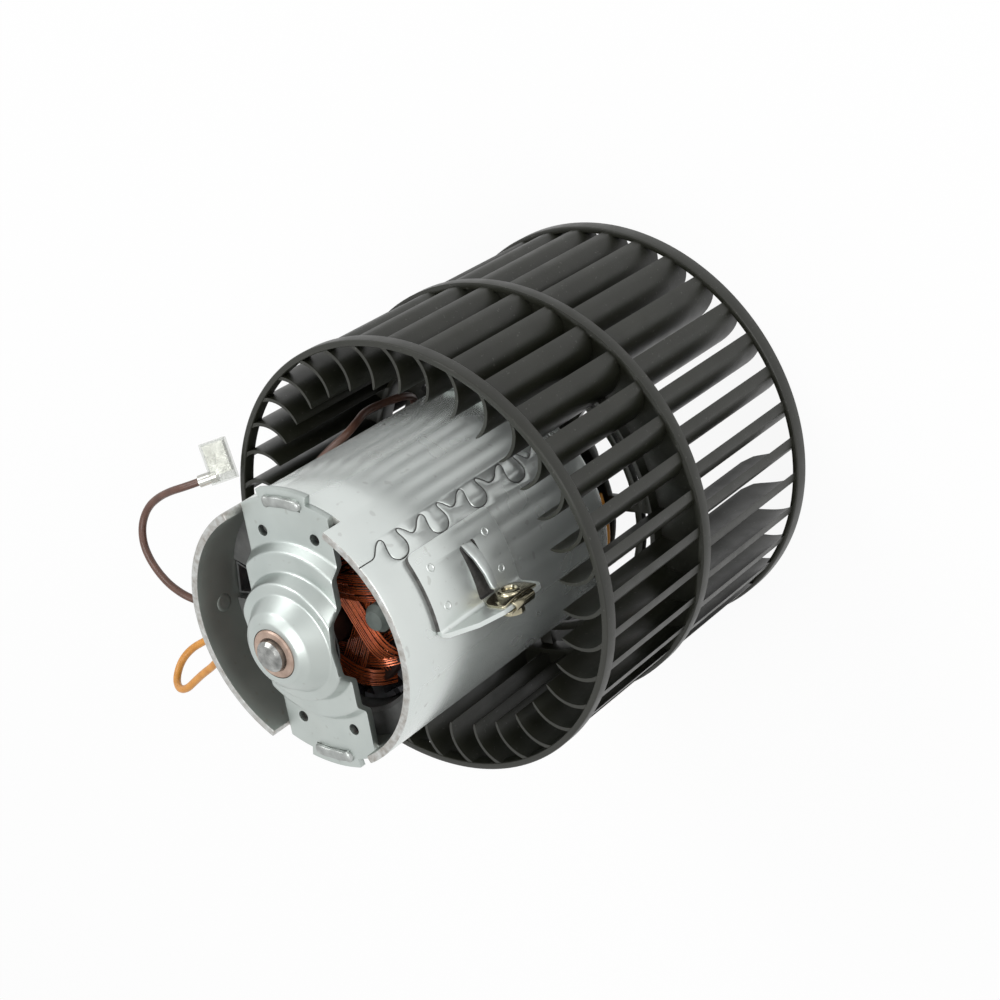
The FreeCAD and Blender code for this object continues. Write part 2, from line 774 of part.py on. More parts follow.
def makeArmature():
    core = newBody("armature_core")
    disc = sketchOn(core, "coreShape", "XY_Plane", lift=coreFoot)
    circle(disc, coreRadius)
    circle(disc, shaftRadius)
    pad(core, "coreStack", disc, coreLength)
    inner, outer, innerHalf, outerHalf = slotCorners(0)
    mouth = d.slotMouth / 2
    slot = sketchOn(core, "slotShape", "XY_Plane", lift=coreTop)
    corners = [
        (inner, -innerHalf),
        (outer, -outerHalf),
        (outer, -mouth),
        (coreRadius + 1, -mouth),
        (coreRadius + 1, mouth),
        (outer, mouth),
        (outer, outerHalf),
        (inner, innerHalf),
    ]
    outline(slot, corners)
    around(core, "slots", pocket(core, "slot", slot, coreLength), d.slotCount)

    winding = newBody("armature_winding")
    inner, outer, innerHalf, outerHalf = slotCorners(0.3)
    bar = sketchOn(winding, "slotFillShape", "XY_Plane", lift=coreFoot - 1)
    outline(bar, [(inner, -innerHalf), (outer, -outerHalf), (outer, outerHalf), (inner, innerHalf)])
    around(winding, "slotFills", pad(winding, "slotFill", bar, coreLength + 2), d.slotCount)
    overhangs = {"rear": (coreTop, 1), "front": (coreFoot, -1)}
    for name, (edge, way) in overhangs.items():
        section = sketchOn(winding, name + "OverhangSection", "XZ_Plane")
        tip = edge + way * d.windingReach
        shoulder = edge + way * d.windingReach * 0.6
        bulk = coreRadius - d.windingInset
        corners = [
            (d.sleeveRadius, edge),
            (bulk, edge),
            (bulk, shoulder),
            (bulk - 4, tip),
            (d.sleeveRadius + 4, tip),
            (d.sleeveRadius, shoulder),
        ]
        outline(section, corners)
        revolve(winding, name + "Overhang", section)
    offset = bulk - d.puttyRadius
    hollow = sketchOn(winding, "puttySeatShape", "XY_Plane", lift=coreTop + d.windingReach + 1)
    circle(hollow, d.puttyRadius, offset * cosine(d.puttyAngle), offset * sine(d.puttyAngle))
    pocket(winding, "puttySeat", hollow, d.puttySeat + 1)


def makeArmatureSmallParts():
    rearInner = rearFloor + d.bridgeWall + d.domeHeight + d.bushStand - d.bushLength
    washerTop = rearInner - 0.3
    washerFoot = washerTop - d.washerWall
    tube("rear_washer", shaftRadius, d.washerDiameter / 2, washerFoot, washerTop)
    tube("rear_insulator", shaftRadius, d.sleeveRadius, coreTop, washerFoot)

    frontInner = frontFloor - d.bridgeWall - d.domeHeight - d.bushStand + d.bushLength
    frontWasher = frontInner + 0.3
    tube("front_washer", shaftRadius, d.washerDiameter / 2, frontWasher, frontWasher + d.washerWall)
    commutatorRadius = d.commutatorDiameter / 2
    bars = commutatorRadius - d.commutatorWall
    sleeveFoot = frontWasher + d.washerWall
    barFoot = brushHeight - d.commutatorLength / 2
    barTop = barFoot + d.commutatorLength
    tube("commutator_sleeve", shaftRadius, bars, sleeveFoot, barTop)
    tube("front_insulator", shaftRadius, d.sleeveRadius, barTop, coreFoot)
    commutator = tube("commutator", bars, commutatorRadius, barFoot, barTop)
    gap = sketchOn(commutator, "barGapShape", "XY_Plane", lift=barTop)
    rectangle(gap, bars - 1, -d.commutatorSlot / 2, commutatorRadius + 1, d.commutatorSlot / 2)
    around(commutator, "barGaps", pocket(commutator, "barGap", gap, d.commutatorLength), d.slotCount)

    putty = newBody("balance_putty")
    offset = coreRadius - d.windingInset - d.puttyRadius
    tip = coreTop + d.windingReach
    seat = tip - d.puttySeat
    section = sketchOn(putty, "puttySection", "XZ_Plane")
    corners = [
        (0, seat),
        (d.puttyRadius, seat),
        (d.puttyRadius, tip),
        (d.puttyRadius * 0.7, tip + d.puttyHeight * 0.8),
        (0, tip + d.puttyHeight),
    ]
    outline(section, corners)
    revolve(putty, "puttyBlob", section)
    bind(putty, "Placement.Base.x", offset * cosine(d.puttyAngle))
    bind(putty, "Placement.Base.y", offset * sine(d.puttyAngle))


def makeFanClip():
    # A push-on spring nut: a dished ring with a turned edge, pressed up the shaft to the hub.
    body = newBody("fan_clip")
    section = sketchOn(body, "fanClipSection", "XZ_Plane")
    top = d.hubFoot
    skin = [
        (shaftRadius, top - 2.2),
        (shaftRadius + 1, top - 2.2),
        (shaftRadius + 3.5, top - 0.6),
        (d.hubRadius - 0.5, top - 0.6),
    ]
    stamped(section, skin, 0.6, 1)
    revolve(body, "fanClipRing", section)


def makeBrushGear():
    plate = newBody("brush_plate")
    board = sketchOn(plate, "plateShape", "XY_Plane", lift=plateFoot)
    circle(board, canBore - 0.15)
    circle(board, d.plateBore / 2)
    pad(plate, "plateBoard", board, d.plateWall)
    vent = sketchOn(plate, "ventShape", "XY_Plane", lift=plateTop)
    sector(vent, d.plateBore / 2 + 8, canBore - 6, 20)
    around(plate, "vents", pocket(plate, "vent", vent, d.plateWall), 2)
    for number, letter in enumerate("ab"):
        angle = 90 + 180 * number
        makeBrush(letter, angle)
        makeBraid(letter, angle)
        makeChoke(letter, angle)


def makeBrush(letter, angle):
    half = d.boxWidth / 2
    boxTop = plateTop + d.boxHeight
    box = newBody("brush_box_" + letter)
    section = sketchOn(box, f"box{letter}Section", "YZ_Plane", lift=d.boxStart)
    rectangle(section, -half, plateTop, half, boxTop)
    rectangle(section, -half + d.boxWall, plateTop + d.boxWall, half - d.boxWall, boxTop - d.boxWall)
    pad(box, f"box{letter}Tube", section, d.boxLength)
    turned(box, angle)

    play = d.boxWall + d.slideGap
    brush = newBody("brush_" + letter)
    start = d.commutatorDiameter / 2
    face = sketchOn(brush, f"brush{letter}Section", "YZ_Plane", lift=start + d.brushGap)
    rectangle(face, -half + play, plateTop + play, half - play, boxTop - play)
    pad(brush, f"brush{letter}Block", face, d.brushLength)
    turned(brush, angle)

    spring = newBody("brush_spring_" + letter)
    fold = sketchOn(spring, f"spring{letter}Section", "XZ_Plane")
    first = start + d.brushGap + d.brushLength
    last = d.boxStart + d.boxLength - 0.5
    low, high = plateTop + play + d.springGap, boxTop - play - d.springGap
    step = (last - first) / 3
    skin = [
        (first + 0.3, low),
        (first + step * 0.5, high),
        (first + step * 1.5, low),
        (first + step * 2.5, high),
        (last, low),
    ]
    stamped(fold, skin, 0.25, 1)
    pad(spring, f"spring{letter}Strip", fold, 4, both=True)
    turned(spring, angle)


def makeBraid(letter, angle):
    # The flexible lead from the brush's back to the plate.
    body = newBody("brush_braid_" + letter)
    half = d.boxWidth / 2
    start = d.commutatorDiameter / 2 + d.brushGap + d.brushLength - 4
    section = sketchOn(body, f"braid{letter}Section", "XZ_Plane", lift=-half)
    low, high = plateTop, plateTop + d.boxHeight / 2 + 1
    wall = 1.2
    skin = [(start, high), (start + 5, high), (start + 9, low + wall)]
    stamped(section, skin, wall, -1)
    pad(body, f"braid{letter}", section, wall, back=True)
    turned(body, angle)


def makeChoke(letter, angle):
    # The choke stands on the plate and looks out of the can beside the bridge.
    coilTop = plateFoot - 1
    coil = newBody("choke_winding_" + letter)
    ring(coil, f"choke{letter}Coil", d.chokeCoreRadius, d.chokeRadius, coilTop - d.chokeLength, coilTop)
    core = newBody("choke_core_" + letter)
    section = sketchOn(core, f"choke{letter}CoreSection", "XZ_Plane")
    rectangle(section, 0, coilTop - d.chokeLength - 1.4, d.chokeCoreRadius, plateFoot)
    revolve(core, f"choke{letter}Core", section)
    for body in (coil, core):
        bind(body, "Placement.Base.x", d.chokeOffset * cosine(angle + 4))
        bind(body, "Placement.Base.y", d.chokeOffset * sine(angle + 4))


def flangeSketch(body, name, lift=0):
    # A sketch on the plane of the flange, which is turned from the bracket's middle.
    return sketchOn(body, name, "XZ_Plane", lift=lift, turn=-d.bracketHalfAngle, turnAxis=(0, 1, 0))


def makeBracket(letter, angle):
    # A welded plate on the can with a lanced hook and a flange that carries the spring nut.
    body = newBody("bracket_" + letter)
    top = canTop - d.bracketInset
    foot = top - d.bracketLength
    inner = canRadius + 0.05
    outer = inner + d.bracketWall
    plate = sketchOn(body, f"bracket{letter}Section", "XY_Plane", lift=foot)
    sector(plate, inner, outer, d.bracketHalfAngle)
    pad(body, f"bracket{letter}Plate", plate, d.bracketLength)

    side = flangeSketch(body, f"flange{letter}Shape")
    tip = outer + d.flangeReach
    corners = [
        (inner, foot),
        (tip - d.bracketCorner, foot),
        (tip, foot + d.bracketCorner),
        (tip, foot + d.flangeFlat),
        (outer + d.flangeKneeReach, top - d.flangeKneeDrop),
        (outer + 1.5, top - 1.5),
        (inner, top),
    ]
    outline(side, corners)
    pad(body, f"flange{letter}", side, d.bracketWall)
    nutX, nutZ = tip - d.nutWidth / 2 - 0.5, foot + d.nutLength / 2 + 2
    screwHole = flangeSketch(body, f"screwHole{letter}Shape")
    circle(screwHole, d.nutThread / 2 + 0.4, nutX, nutZ)
    pocket(body, f"screwHole{letter}", screwHole, d.bracketWall * 4, both=True)

    welds = sketchOn(body, f"weld{letter}Shape", "YZ_Plane", lift=outer + 0.01)
    across = outer * sine(d.weldHalfAngle)
    middle = (top + foot) / 2
    for y in (-across, across):
        for z in (middle - d.weldSpacing / 2, middle + d.weldSpacing / 2):
            circle(welds, d.weldRadius, y, z)
    pocket(body, f"weldMarks{letter}", welds, d.weldDepth + outer * (1 - cosine(d.weldHalfAngle)))

    corners = sketchOn(body, f"plateCorner{letter}Shape", "YZ_Plane", lift=outer + 1)
    edge = outer * sine(d.bracketHalfAngle)
    radius = d.plateCorner
    for end, way in ((top, 1), (foot, -1)):
        spots = [
            (edge + 1, end + way),
            (edge - radius, end + way),
            (edge - radius, end),
            (edge, end - way * radius),
            (edge + 1, end - way * radius),
        ]
        outline(corners, spots, {2: (edge - radius, end - way * radius, -way)})
    pocket(body, f"plateCorners{letter}", corners, 6)

    slot = sketchOn(body, f"hookSlot{letter}Shape", "YZ_Plane", lift=outer + 1)
    hookFoot = middle - d.hookDrop
    slotTop = hookFoot + d.hookWidth + d.slotWidth
    rectangle(slot, -d.slotReach, hookFoot, d.slotRoot, slotTop)
    pocket(body, f"hookSlot{letter}", slot, 4)
    hook = sketchOn(body, f"hook{letter}Section", "XY_Plane", lift=hookFoot + 0.3)
    skin = [
        (outer - 1.9, d.slotRoot + 2.3),
        (outer - 1.3, d.slotRoot - 0.5),
        (outer + d.hookLift / 2 - 0.5, 1.5),
        (outer + d.hookLift - 0.8, -4),
        (outer + d.hookLift - 0.6, 2 - d.slotReach),
    ]
    stamped(hook, skin, 1.1, 1)
    pad(body, f"hook{letter}", hook, d.hookWidth - 0.3)
    turned(body, angle)

    nut = newBody("clip_nut_" + letter)
    low, high = nutZ - d.nutLength / 2, nutZ + d.nutLength / 2
    wall = d.nutWall
    lift = 0.05
    saddle = flangeSketch(nut, f"nut{letter}Shape", lift=-wall - lift)
    rectangle(saddle, tip - d.nutWidth, low, tip + wall + lift, high)
    pad(nut, f"nut{letter}Block", saddle, d.bracketWall + 2 * (wall + lift))
    room = flangeSketch(nut, f"nut{letter}RoomShape", lift=-lift)
    rectangle(room, tip - d.nutWidth - 1, low - 1, tip + lift, high + 1)
    pocket(nut, f"nut{letter}Room", room, d.bracketWall + 2 * lift, back=True)
    barrel = flangeSketch(nut, f"nut{letter}BarrelShape", lift=d.bracketWall + lift)
    circle(barrel, d.nutThread / 2 + 1.3, nutX, nutZ)
    pad(nut, f"nut{letter}Barrel", barrel, wall + 2.6)
    thread = flangeSketch(nut, f"nut{letter}ThreadShape")
    circle(thread, d.nutThread / 2 - 0.4, nutX, nutZ)
    pocket(nut, f"nut{letter}Thread", thread, 16, both=True)
    turned(nut, angle)


# Each lead's route, from the choke inside the wheel to the crimp of its terminal


def station(radius, angle, height):
    turn = math.radians(angle)
    return (radius * math.cos(turn), radius * math.sin(turn), height)


brownRoute = [
    (-6, 37.2, 66.6),
    (4, 38.6, 66.6),
    (15, 38.2, 66.9),
    (25, 36.8, 67.3),
    (30.2, 34.6, 68),
    (34.4, 32.6, 70.6),
    station(48.4, 40.8, 75.2),
    station(49.3, 40.6, 80.8),
    station(50.2, 41, 87.5),
    station(50.4, 40.5, 94.5),
    station(48.6, 39.5, 100.5),
    station(46.9, 41, 106.5),
    station(47, 48, 111.5),
    station(48.3, 58, 114.5),
    station(49.5, 70, 115.8),
    station(50.5, 82, 115.7),
    station(51.6, 94, 116.3),
    (-12.6, 52.6, 120.3),
    (-17, 58.6, 127),
    (-19.8, 67, 133),
    (-20, 76, 138),
    (-17, 83.5, 142),
    (-13, 90.5, 143.3),
    (-9, 97, 142.3),
    (-5, 102.8, 140.3),
    (-0.6, 106.8, 138),
    (5, 107.8, 135.7),
    (10.8, 104.8, 134),
    (15, 99, 133.3),
    (18.2, 92, 133),
    (20.2, 85.6, 132.2),
    (21.4, 81.2, 128.9),
]
orangeRoute = [
    (6, -37, 66.6),
    (-3, -38.8, 66.8),
    (-12, -38, 67.6),
    station(41, -122, 68.2),
    station(41, -139, 68.2),
    station(41, -157, 68.2),
    station(41.3, -174, 68.3),
    station(42.5, 169, 68.8),
    station(45.8, 156, 70.6),
    station(49.4, 147, 75.5),
    station(50.8, 141, 84),
    station(50.8, 137.5, 94),
    station(50.6, 134, 104),
    (-28, 44.6, 113.5),
    (-26.5, 47, 121),
    (-27, 54, 126.5),
    (-28.8, 65, 129.8),
    (-33.2, 81, 131.8),
    (-38.5, 91.5, 134.6),
    (-41.5, 96.8, 136.6),
    (-45.5, 100, 139.6),
    (-50, 99.3, 144),
    (-51.3, 94.5, 147.6),
    (-49.8, 89.3, 148.4),
    (-45.7, 84.3, 147.9),
    (-41.6, 79, 148),
    (-37.8, 73.3, 148.3),
    (-33.2, 68, 148.6),
    (-27.2, 64, 148.3),
    (-20.8, 62.3, 147.6),
]


def makeLead(label, route):
    # Straight runs joined by arcs that touch them, each arc as large as its two runs allow.
    points = [Vector(*point) for point in route]
    edges = []
    start = points[0]
    radii = []
    for before, corner, after in zip(points, points[1:], points[2:]):
        incoming, outgoing = (corner - before), (after - corner)
        half = incoming.getAngle(outgoing) / 2
        trim = 0.45 * min(incoming.Length, outgoing.Length)
        radius = trim / math.tan(half)
        radii.append(radius)
        incoming.normalize()
        outgoing.normalize()
        enter, leave = corner - incoming * trim, corner + outgoing * trim
        inward = (outgoing - incoming).normalize()
        middle = corner + inward * (radius / math.cos(half) - radius)
        edges.append(Part.LineSegment(start, enter).toShape())
        edges.append(Part.Arc(enter, middle, leave).toShape())
        start = leave
    edges.append(Part.LineSegment(start, points[-1]).toShape())
    path = Part.Wire(edges)
    section = Part.Wire(Part.Circle(points[0], points[1] - points[0], leadRadius.value).toShape())
    lead = document.addObject("Part::Feature", label)
    lead.Label = label
    lead.Shape = path.makePipeShell([section], True, False)
    pieces[label] = lead
    ideal = math.pi * leadRadius.value**2 * path.Length
    print(label, "length", round(path.Length, 1), "least radius", round(min(radii), 1))
    print(label, "volume against section times length", round(lead.Shape.Volume / ideal, 4))


def makeTerminal(colour, route, blade):
    # A flag receptacle: its barrel takes the lead's end, and its blade pocket stands across it.
    along = (Vector(*route[-1]) - Vector(*route[-2])).normalize()
    across = Vector(*blade)
    across = (across - along * across.dot(along)).normalize()
    place = Placement(Vector(*route[-1]), Rotation(along, across, Vector(), "XYZ"))

    terminal = newBody(colour + "_terminal")
    barrel = sketchOn(terminal, colour + "BarrelShape", "YZ_Plane")
    circle(barrel, d.barrelDiameter / 2)
    pad(terminal, colour + "Barrel", barrel, d.barrelLength)
    shell = sketchOn(terminal, colour + "PocketSection", "XZ_Plane")
    left = d.barrelLength - 1.5
    right = left + d.terminalWidth
    rise = d.terminalThickness / 2
    rectangle(shell, left, -rise, right, rise)
    pad(terminal, colour + "Pocket", shell, d.terminalLength, back=True)
    hollow = sketchOn(terminal, colour + "HollowSection", "XZ_Plane", lift=-d.terminalLength - 1)
    wall = d.terminalWall
    rectangle(hollow, left + wall, -rise + wall, right - wall, rise - wall)
    pocket(terminal, colour + "Hollow", hollow, d.terminalLength - 2, back=True)
    terminal.Placement = place

    sleeve = newBody(colour + "_sleeve")
    gap = d.sleeveGap
    cover = d.sleeveWall + gap
    outer = sketchOn(sleeve, colour + "SleeveSection", "XZ_Plane", lift=d.barrelDiameter / 2 + cover)
    top = rise + cover
    rectangle(outer, left - cover, -top, right + cover, top)
    reach = d.barrelDiameter / 2
    pad(sleeve, colour + "SleeveBlock", outer, d.terminalLength + 1 + reach + cover, back=True)
    inner = sketchOn(sleeve, colour + "SleeveRoom", "XZ_Plane", lift=-d.terminalLength - 2)
    rectangle(inner, left - gap, -rise - gap, right + gap, rise + gap)
    pocket(sleeve, colour + "SleeveHollow", inner, d.terminalLength + 2 + reach + gap, back=True)
    throat = sketchOn(sleeve, colour + "SleeveThroat", "YZ_Plane", lift=left - cover - 1)
    circle(throat, d.barrelDiameter / 2 + gap)
    pocket(sleeve, colour + "SleeveBore", throat, cover + 3, back=True)
    sleeve.Placement = place


makeWheelWeb()
makeWheelRows()
makeMotorCan()
makeBridge("rear_bridge", rearFloor, 1)
makeBridge("front_bridge", frontFloor, -1)
makeBearing("rear", rearFloor, 1)
makeBearing("front", frontFloor, -1)
makeMagnets()
makeMagnetClips()
makeShaft()
makeArmature()
makeArmatureSmallParts()
makeFanClip()
makeBrushGear()
makeBracket("a", d.bracketAngle)
makeBracket("b", d.bracketAngle + 180)
makeLead("brown_lead", brownRoute)
makeLead("orange_lead", orangeRoute)
makeTerminal("brown", brownRoute, (0.895, 0.425, -0.13))
makeTerminal("orange", orangeRoute, (0.1, 0.2, -1))

document.recompute()
for item in document.Objects:
    if "Invalid" in item.State or "Error" in item.State:
        raise RuntimeError(f"{item.Label} failed: {item.State}")

os.makedirs("parts", exist_ok=True)
for label, piece in pieces.items():
    if piece.Shape.isNull() or not piece.Shape.isValid():
        raise RuntimeError(f"{label} has no valid shape")
    piece.Shape.exportStep(f"parts/{label}.step")
print(len(pieces), "nodes")
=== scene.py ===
import json
import math

import bmesh
import bpy
from mathutils import Matrix, Vector


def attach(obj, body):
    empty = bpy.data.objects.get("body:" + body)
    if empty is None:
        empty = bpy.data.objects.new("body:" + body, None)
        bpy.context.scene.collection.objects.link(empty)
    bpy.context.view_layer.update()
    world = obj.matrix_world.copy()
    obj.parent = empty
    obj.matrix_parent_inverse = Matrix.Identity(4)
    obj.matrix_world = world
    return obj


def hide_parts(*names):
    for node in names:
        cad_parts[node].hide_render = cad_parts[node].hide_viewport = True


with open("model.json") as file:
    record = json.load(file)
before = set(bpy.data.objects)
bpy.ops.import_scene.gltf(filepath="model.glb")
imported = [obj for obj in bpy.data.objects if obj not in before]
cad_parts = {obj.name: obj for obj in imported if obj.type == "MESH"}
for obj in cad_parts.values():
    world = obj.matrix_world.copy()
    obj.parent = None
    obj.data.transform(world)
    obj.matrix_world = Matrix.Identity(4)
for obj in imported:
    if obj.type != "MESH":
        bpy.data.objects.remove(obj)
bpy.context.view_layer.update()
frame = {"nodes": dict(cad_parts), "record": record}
nodes = frame["nodes"]
mm = 0.001
print("frame loaded,", len(nodes), "nodes")


def linked(name, data):
    piece = bpy.data.objects.new(name, data)
    bpy.context.collection.objects.link(piece)
    return piece


def polar(radius, angle, height=0.0):
    return Vector((radius * math.cos(angle), radius * math.sin(angle), height))


# Camera, floor and lights

cameraSet = {
    "place": (0.26487, -0.41121, 0.54076), "right": (-0.15302, -0.78368, -0.60202),
    "forward": (-0.38946, 0.60771, -0.69210), "lens": 72.94, "sensor": 36, "near": 0.02,
}


def makeCamera():
    s = cameraSet
    right = Vector(s["right"]).normalized()
    backward = -Vector(s["forward"]).normalized()
    up = backward.cross(right).normalized()
    right = up.cross(backward).normalized()
    camera = linked("camera", bpy.data.cameras.new("camera"))
    camera.data.lens = s["lens"]
    camera.data.sensor_fit = "HORIZONTAL"
    camera.data.sensor_width = s["sensor"]
    camera.data.clip_start = s["near"]
    turn = Matrix((right, up, backward)).transposed().to_4x4()
    camera.matrix_world = Matrix.Translation(s["place"]) @ turn
    bpy.context.scene.camera = camera
    bpy.context.scene.view_settings.view_transform = "Standard"


def addNode(tree, kind, links=None, **settings):
    # A node with its inputs: a value, or the output of another node.
    node = tree.nodes.new(kind)
    for name, value in settings.items():
        setattr(node, name, value)
    for key, value in (links or {}).items():
        if isinstance(value, bpy.types.NodeSocket):
            tree.links.new(value, node.inputs[key])
        else:
            node.inputs[key].default_value = value
    return node


def maths(tree, operation, *values):
    links = dict(enumerate(values))
    return addNode(tree, "ShaderNodeMath", links, operation=operation).outputs[0]


def newMaterial(name):
    material = bpy.data.materials.new(name)
    material.use_nodes = True
    tree = material.node_tree
    tree.nodes.clear()
    output = tree.nodes.new("ShaderNodeOutputMaterial")
    return material, tree, output


def directRay(tree):
    # 1 for what the camera sees itself, in a reflection or through clear plastic.
    rays = addNode(tree, "ShaderNodeLightPath")
    total = rays.outputs["Is Camera Ray"]
    for name in ("Is Glossy Ray", "Is Transmission Ray"):
        total = maths(tree, "MAXIMUM", total, rays.outputs[name])
    return total


stageSet = {"size": 3.0, "tone": 0.86, "ownWhite": 0.92, "world": 0.55, "seen": 1.0}


def makeStage():
    material, tree, output = newMaterial("paleFloor")
    matt = addNode(tree, "ShaderNodeBsdfDiffuse", {"Color": (stageSet["tone"],) * 3 + (1,)})
    white = addNode(tree, "ShaderNodeEmission", {"Strength": 1.0})
    share = maths(tree, "MULTIPLY", directRay(tree), stageSet["ownWhite"])
    links = {0: share, 1: matt.outputs[0], 2: white.outputs[0]}
    mixed = addNode(tree, "ShaderNodeMixShader", links)
    tree.links.new(mixed.outputs[0], output.inputs["Surface"])
    mesh = bpy.data.meshes.new("floor")
    half = stageSet["size"]
    corners = [(-half, -half, 0), (half, -half, 0), (half, half, 0), (-half, half, 0)]
    mesh.from_pydata(corners, [], [(0, 1, 2, 3)])
    mesh.materials.append(material)
    linked("floor", mesh)

    world = bpy.data.worlds.new("room")
    bpy.context.scene.world = world
    world.use_nodes = True
    tree = world.node_tree
    tree.nodes.clear()
    output = tree.nodes.new("ShaderNodeOutputWorld")
    links = {0: directRay(tree), 3: stageSet["world"], 4: stageSet["seen"]}
    strength = addNode(tree, "ShaderNodeMapRange", links).outputs[0]
    sky = addNode(tree, "ShaderNodeBackground", {"Color": (1, 1, 1, 1), "Strength": strength})
    tree.links.new(sky.outputs[0], output.inputs["Surface"])


lampSet = {
    "overhead": {"place": (0.1, -0.2, 1.3), "aim": (0, 0, 0.1), "size": 0.8, "power": 6},
    "left": {"place": (0.9, 0.5, 0.9), "aim": (0, 0, 0.12), "size": 0.6, "power": 5},
    "front": {"place": (0.5, -1.0, 0.35), "aim": (0, 0, 0.1), "size": 0.6, "power": 2.8},
}


def makeLamps():
    for name, lamp in lampSet.items():
        light = bpy.data.lights.new(name, "AREA")
        light.shape = "DISK"
        light.size = lamp["size"]
        light.energy = lamp["power"]
        holder = linked(name, light)
        towards = Vector(lamp["aim"]) - Vector(lamp["place"])
        holder.rotation_euler = towards.to_track_quat("-Z", "Y").to_euler()
        holder.location = lamp["place"]


makeCamera()
makeStage()
makeLamps()
print("camera, floor and lamps placed")


# Materials


def noise(tree, place, scale, detail):
    links = {"Vector": place, "Scale": scale, "Detail": detail}
    return addNode(tree, "ShaderNodeTexNoise", links).outputs["Fac"]


def ranged(tree, value, first, last, low, high):
    links = {0: value, 1: first, 2: last, 3: low, 4: high}
    return addNode(tree, "ShaderNodeMapRange", links).outputs[0]


def speckle(tree, place, scale, low, high, detail=3):
    # Noise spread between two grey levels.
    return ranged(tree, noise(tree, place, scale, detail), 0.22, 0.78, low, high)


def tinted(tree, factor, first, second):
    tones = [(*tone, 1) if isinstance(tone, tuple) else tone for tone in (first, second)]
    links = {"Factor": factor, 6: tones[0], 7: tones[1]}
    return addNode(tree, "ShaderNodeMix", links, data_type="RGBA").outputs[2]


def raisedBy(tree, height, distance, normal=None):
    links = {"Height": height, "Distance": distance, "Strength": 1.0}
    if normal is not None:
        links["Normal"] = normal
    return addNode(tree, "ShaderNodeBump", links).outputs[0]


def objectPlace(tree):
    return addNode(tree, "ShaderNodeTexCoord").outputs["Object"]


def surfaced(tree, output, colour, shine, normal, rest=None):
    links = {"Base Color": colour, "Roughness": shine, "Normal": normal, **(rest or {})}
    shader = addNode(tree, "ShaderNodeBsdfPrincipled", links).outputs[0]
    tree.links.new(shader, output.inputs["Surface"])
    return shader


def platedSheet(name, look):
    # Zinc-plated sheet: drawing lines, cloudy plating, stains and small dents.
    material, tree, output = newMaterial(name)
    place = objectPlace(tree)
    clouds = speckle(tree, place, 70.0, 0, 1, detail=2)
    colour = tinted(tree, clouds, look["dark"], look["light"])
    blush = speckle(tree, place, 28.0, 0, 1, detail=2)
    tone = tinted(tree, blush, look["cool"], look["warm"])
    blend = tinted(tree, 0.5, colour, tone)
    stains = ranged(tree, noise(tree, place, 420.0, 0.0), 0.76, 0.84, 0, look["stain"])
    colour = tinted(tree, stains, blend, look["dirt"])
    drawn = addNode(tree, "ShaderNodeMapping", {"Vector": place, "Scale": look["draw"]})
    normal = raisedBy(tree, noise(tree, place, 120.0, 1.0), look["dents"])
    lines = noise(tree, drawn.outputs[0], 600.0, 1.0)
    normal = raisedBy(tree, lines, look["lines"], normal)
    shine = speckle(tree, place, 90.0, *look["shine"], detail=1)
    surfaced(tree, output, colour, shine, normal, {"Metallic": look["metal"]})
    return material


def plainFinish(name, look):
    # Mottled colour, pale dust on some, uneven shine and a fine surface.
    material, tree, output = newMaterial(name)
    place = objectPlace(tree)
    mottle = speckle(tree, place, look.get("scale", 300.0), 0, 1)
    colour = tinted(tree, mottle, look["dark"], look["light"])
    if "dust" in look:
        specks = ranged(tree, noise(tree, place, 900.0, 1.0), 0.7, 0.76, 0, 0.35)
        colour = tinted(tree, specks, colour, look["dust"])
    grain = noise(tree, place, look.get("grainScale", 1500.0), 2.0)
    normal = raisedBy(tree, grain, look.get("grain", 0.00002))
    rest = {"Metallic": look.get("metal", 0.0)}
    if "coat" in look:
        rest.update({"Coat Weight": look["coat"], "Coat Roughness": 0.15})
    shine = speckle(tree, place, look.get("shineScale", 260.0), *look["shine"])
    shader = surfaced(tree, output, colour, shine, normal, rest)
    if "clear" in look:
        film = addNode(tree, "ShaderNodeBsdfTransparent", {"Color": look["film"]})
        links = {0: look["clear"], 1: shader, 2: film.outputs[0]}
        mixed = addNode(tree, "ShaderNodeMixShader", links)
        tree.links.new(mixed.outputs[0], output.inputs["Surface"])
    return material


sheetLook = {
    "dark": (0.375, 0.412, 0.395), "light": (0.535, 0.577, 0.555),
    "cool": (0.43, 0.48, 0.465), "warm": (0.535, 0.565, 0.535), "dirt": (0.2, 0.18, 0.15),
    "stain": 0.22, "draw": (1.0, 1.0, 0.05), "lines": 0.000002, "dents": 0.00003,
    "shine": (0.27, 0.4), "metal": 0.92,
}
rolledLook = {
    **sheetLook, "dark": (0.64, 0.68, 0.66), "light": (0.71, 0.75, 0.73),
    "cool": (0.65, 0.70, 0.68), "warm": (0.71, 0.74, 0.71), "shine": (0.25, 0.28),
    "metal": 0.72, "lines": 0.0, "dents": 0.000008,
}
pressedLook = {**sheetLook, "draw": (0.3, 0.3, 1.0), "shine": (0.34, 0.42)}
bracketLook = {**rolledLook, "draw": (1, 1, 1), "shine": (0.24, 0.4)}
insideLook = {
    **sheetLook, "dark": (0.185, 0.205, 0.187), "light": (0.30, 0.325, 0.298),
    "cool": (0.212, 0.242, 0.225), "warm": (0.265, 0.28, 0.255), "shine": (0.42, 0.58),
    "stain": 0.4, "metal": 0.55,
}
finishes = {
    "zinc": platedSheet("canZinc", rolledLook),
    "pressed_zinc": platedSheet("bridgeZinc", pressedLook),
    "bracket_zinc": platedSheet("bracketZinc", bracketLook),
    "dull_zinc": platedSheet("canInside", insideLook),
}
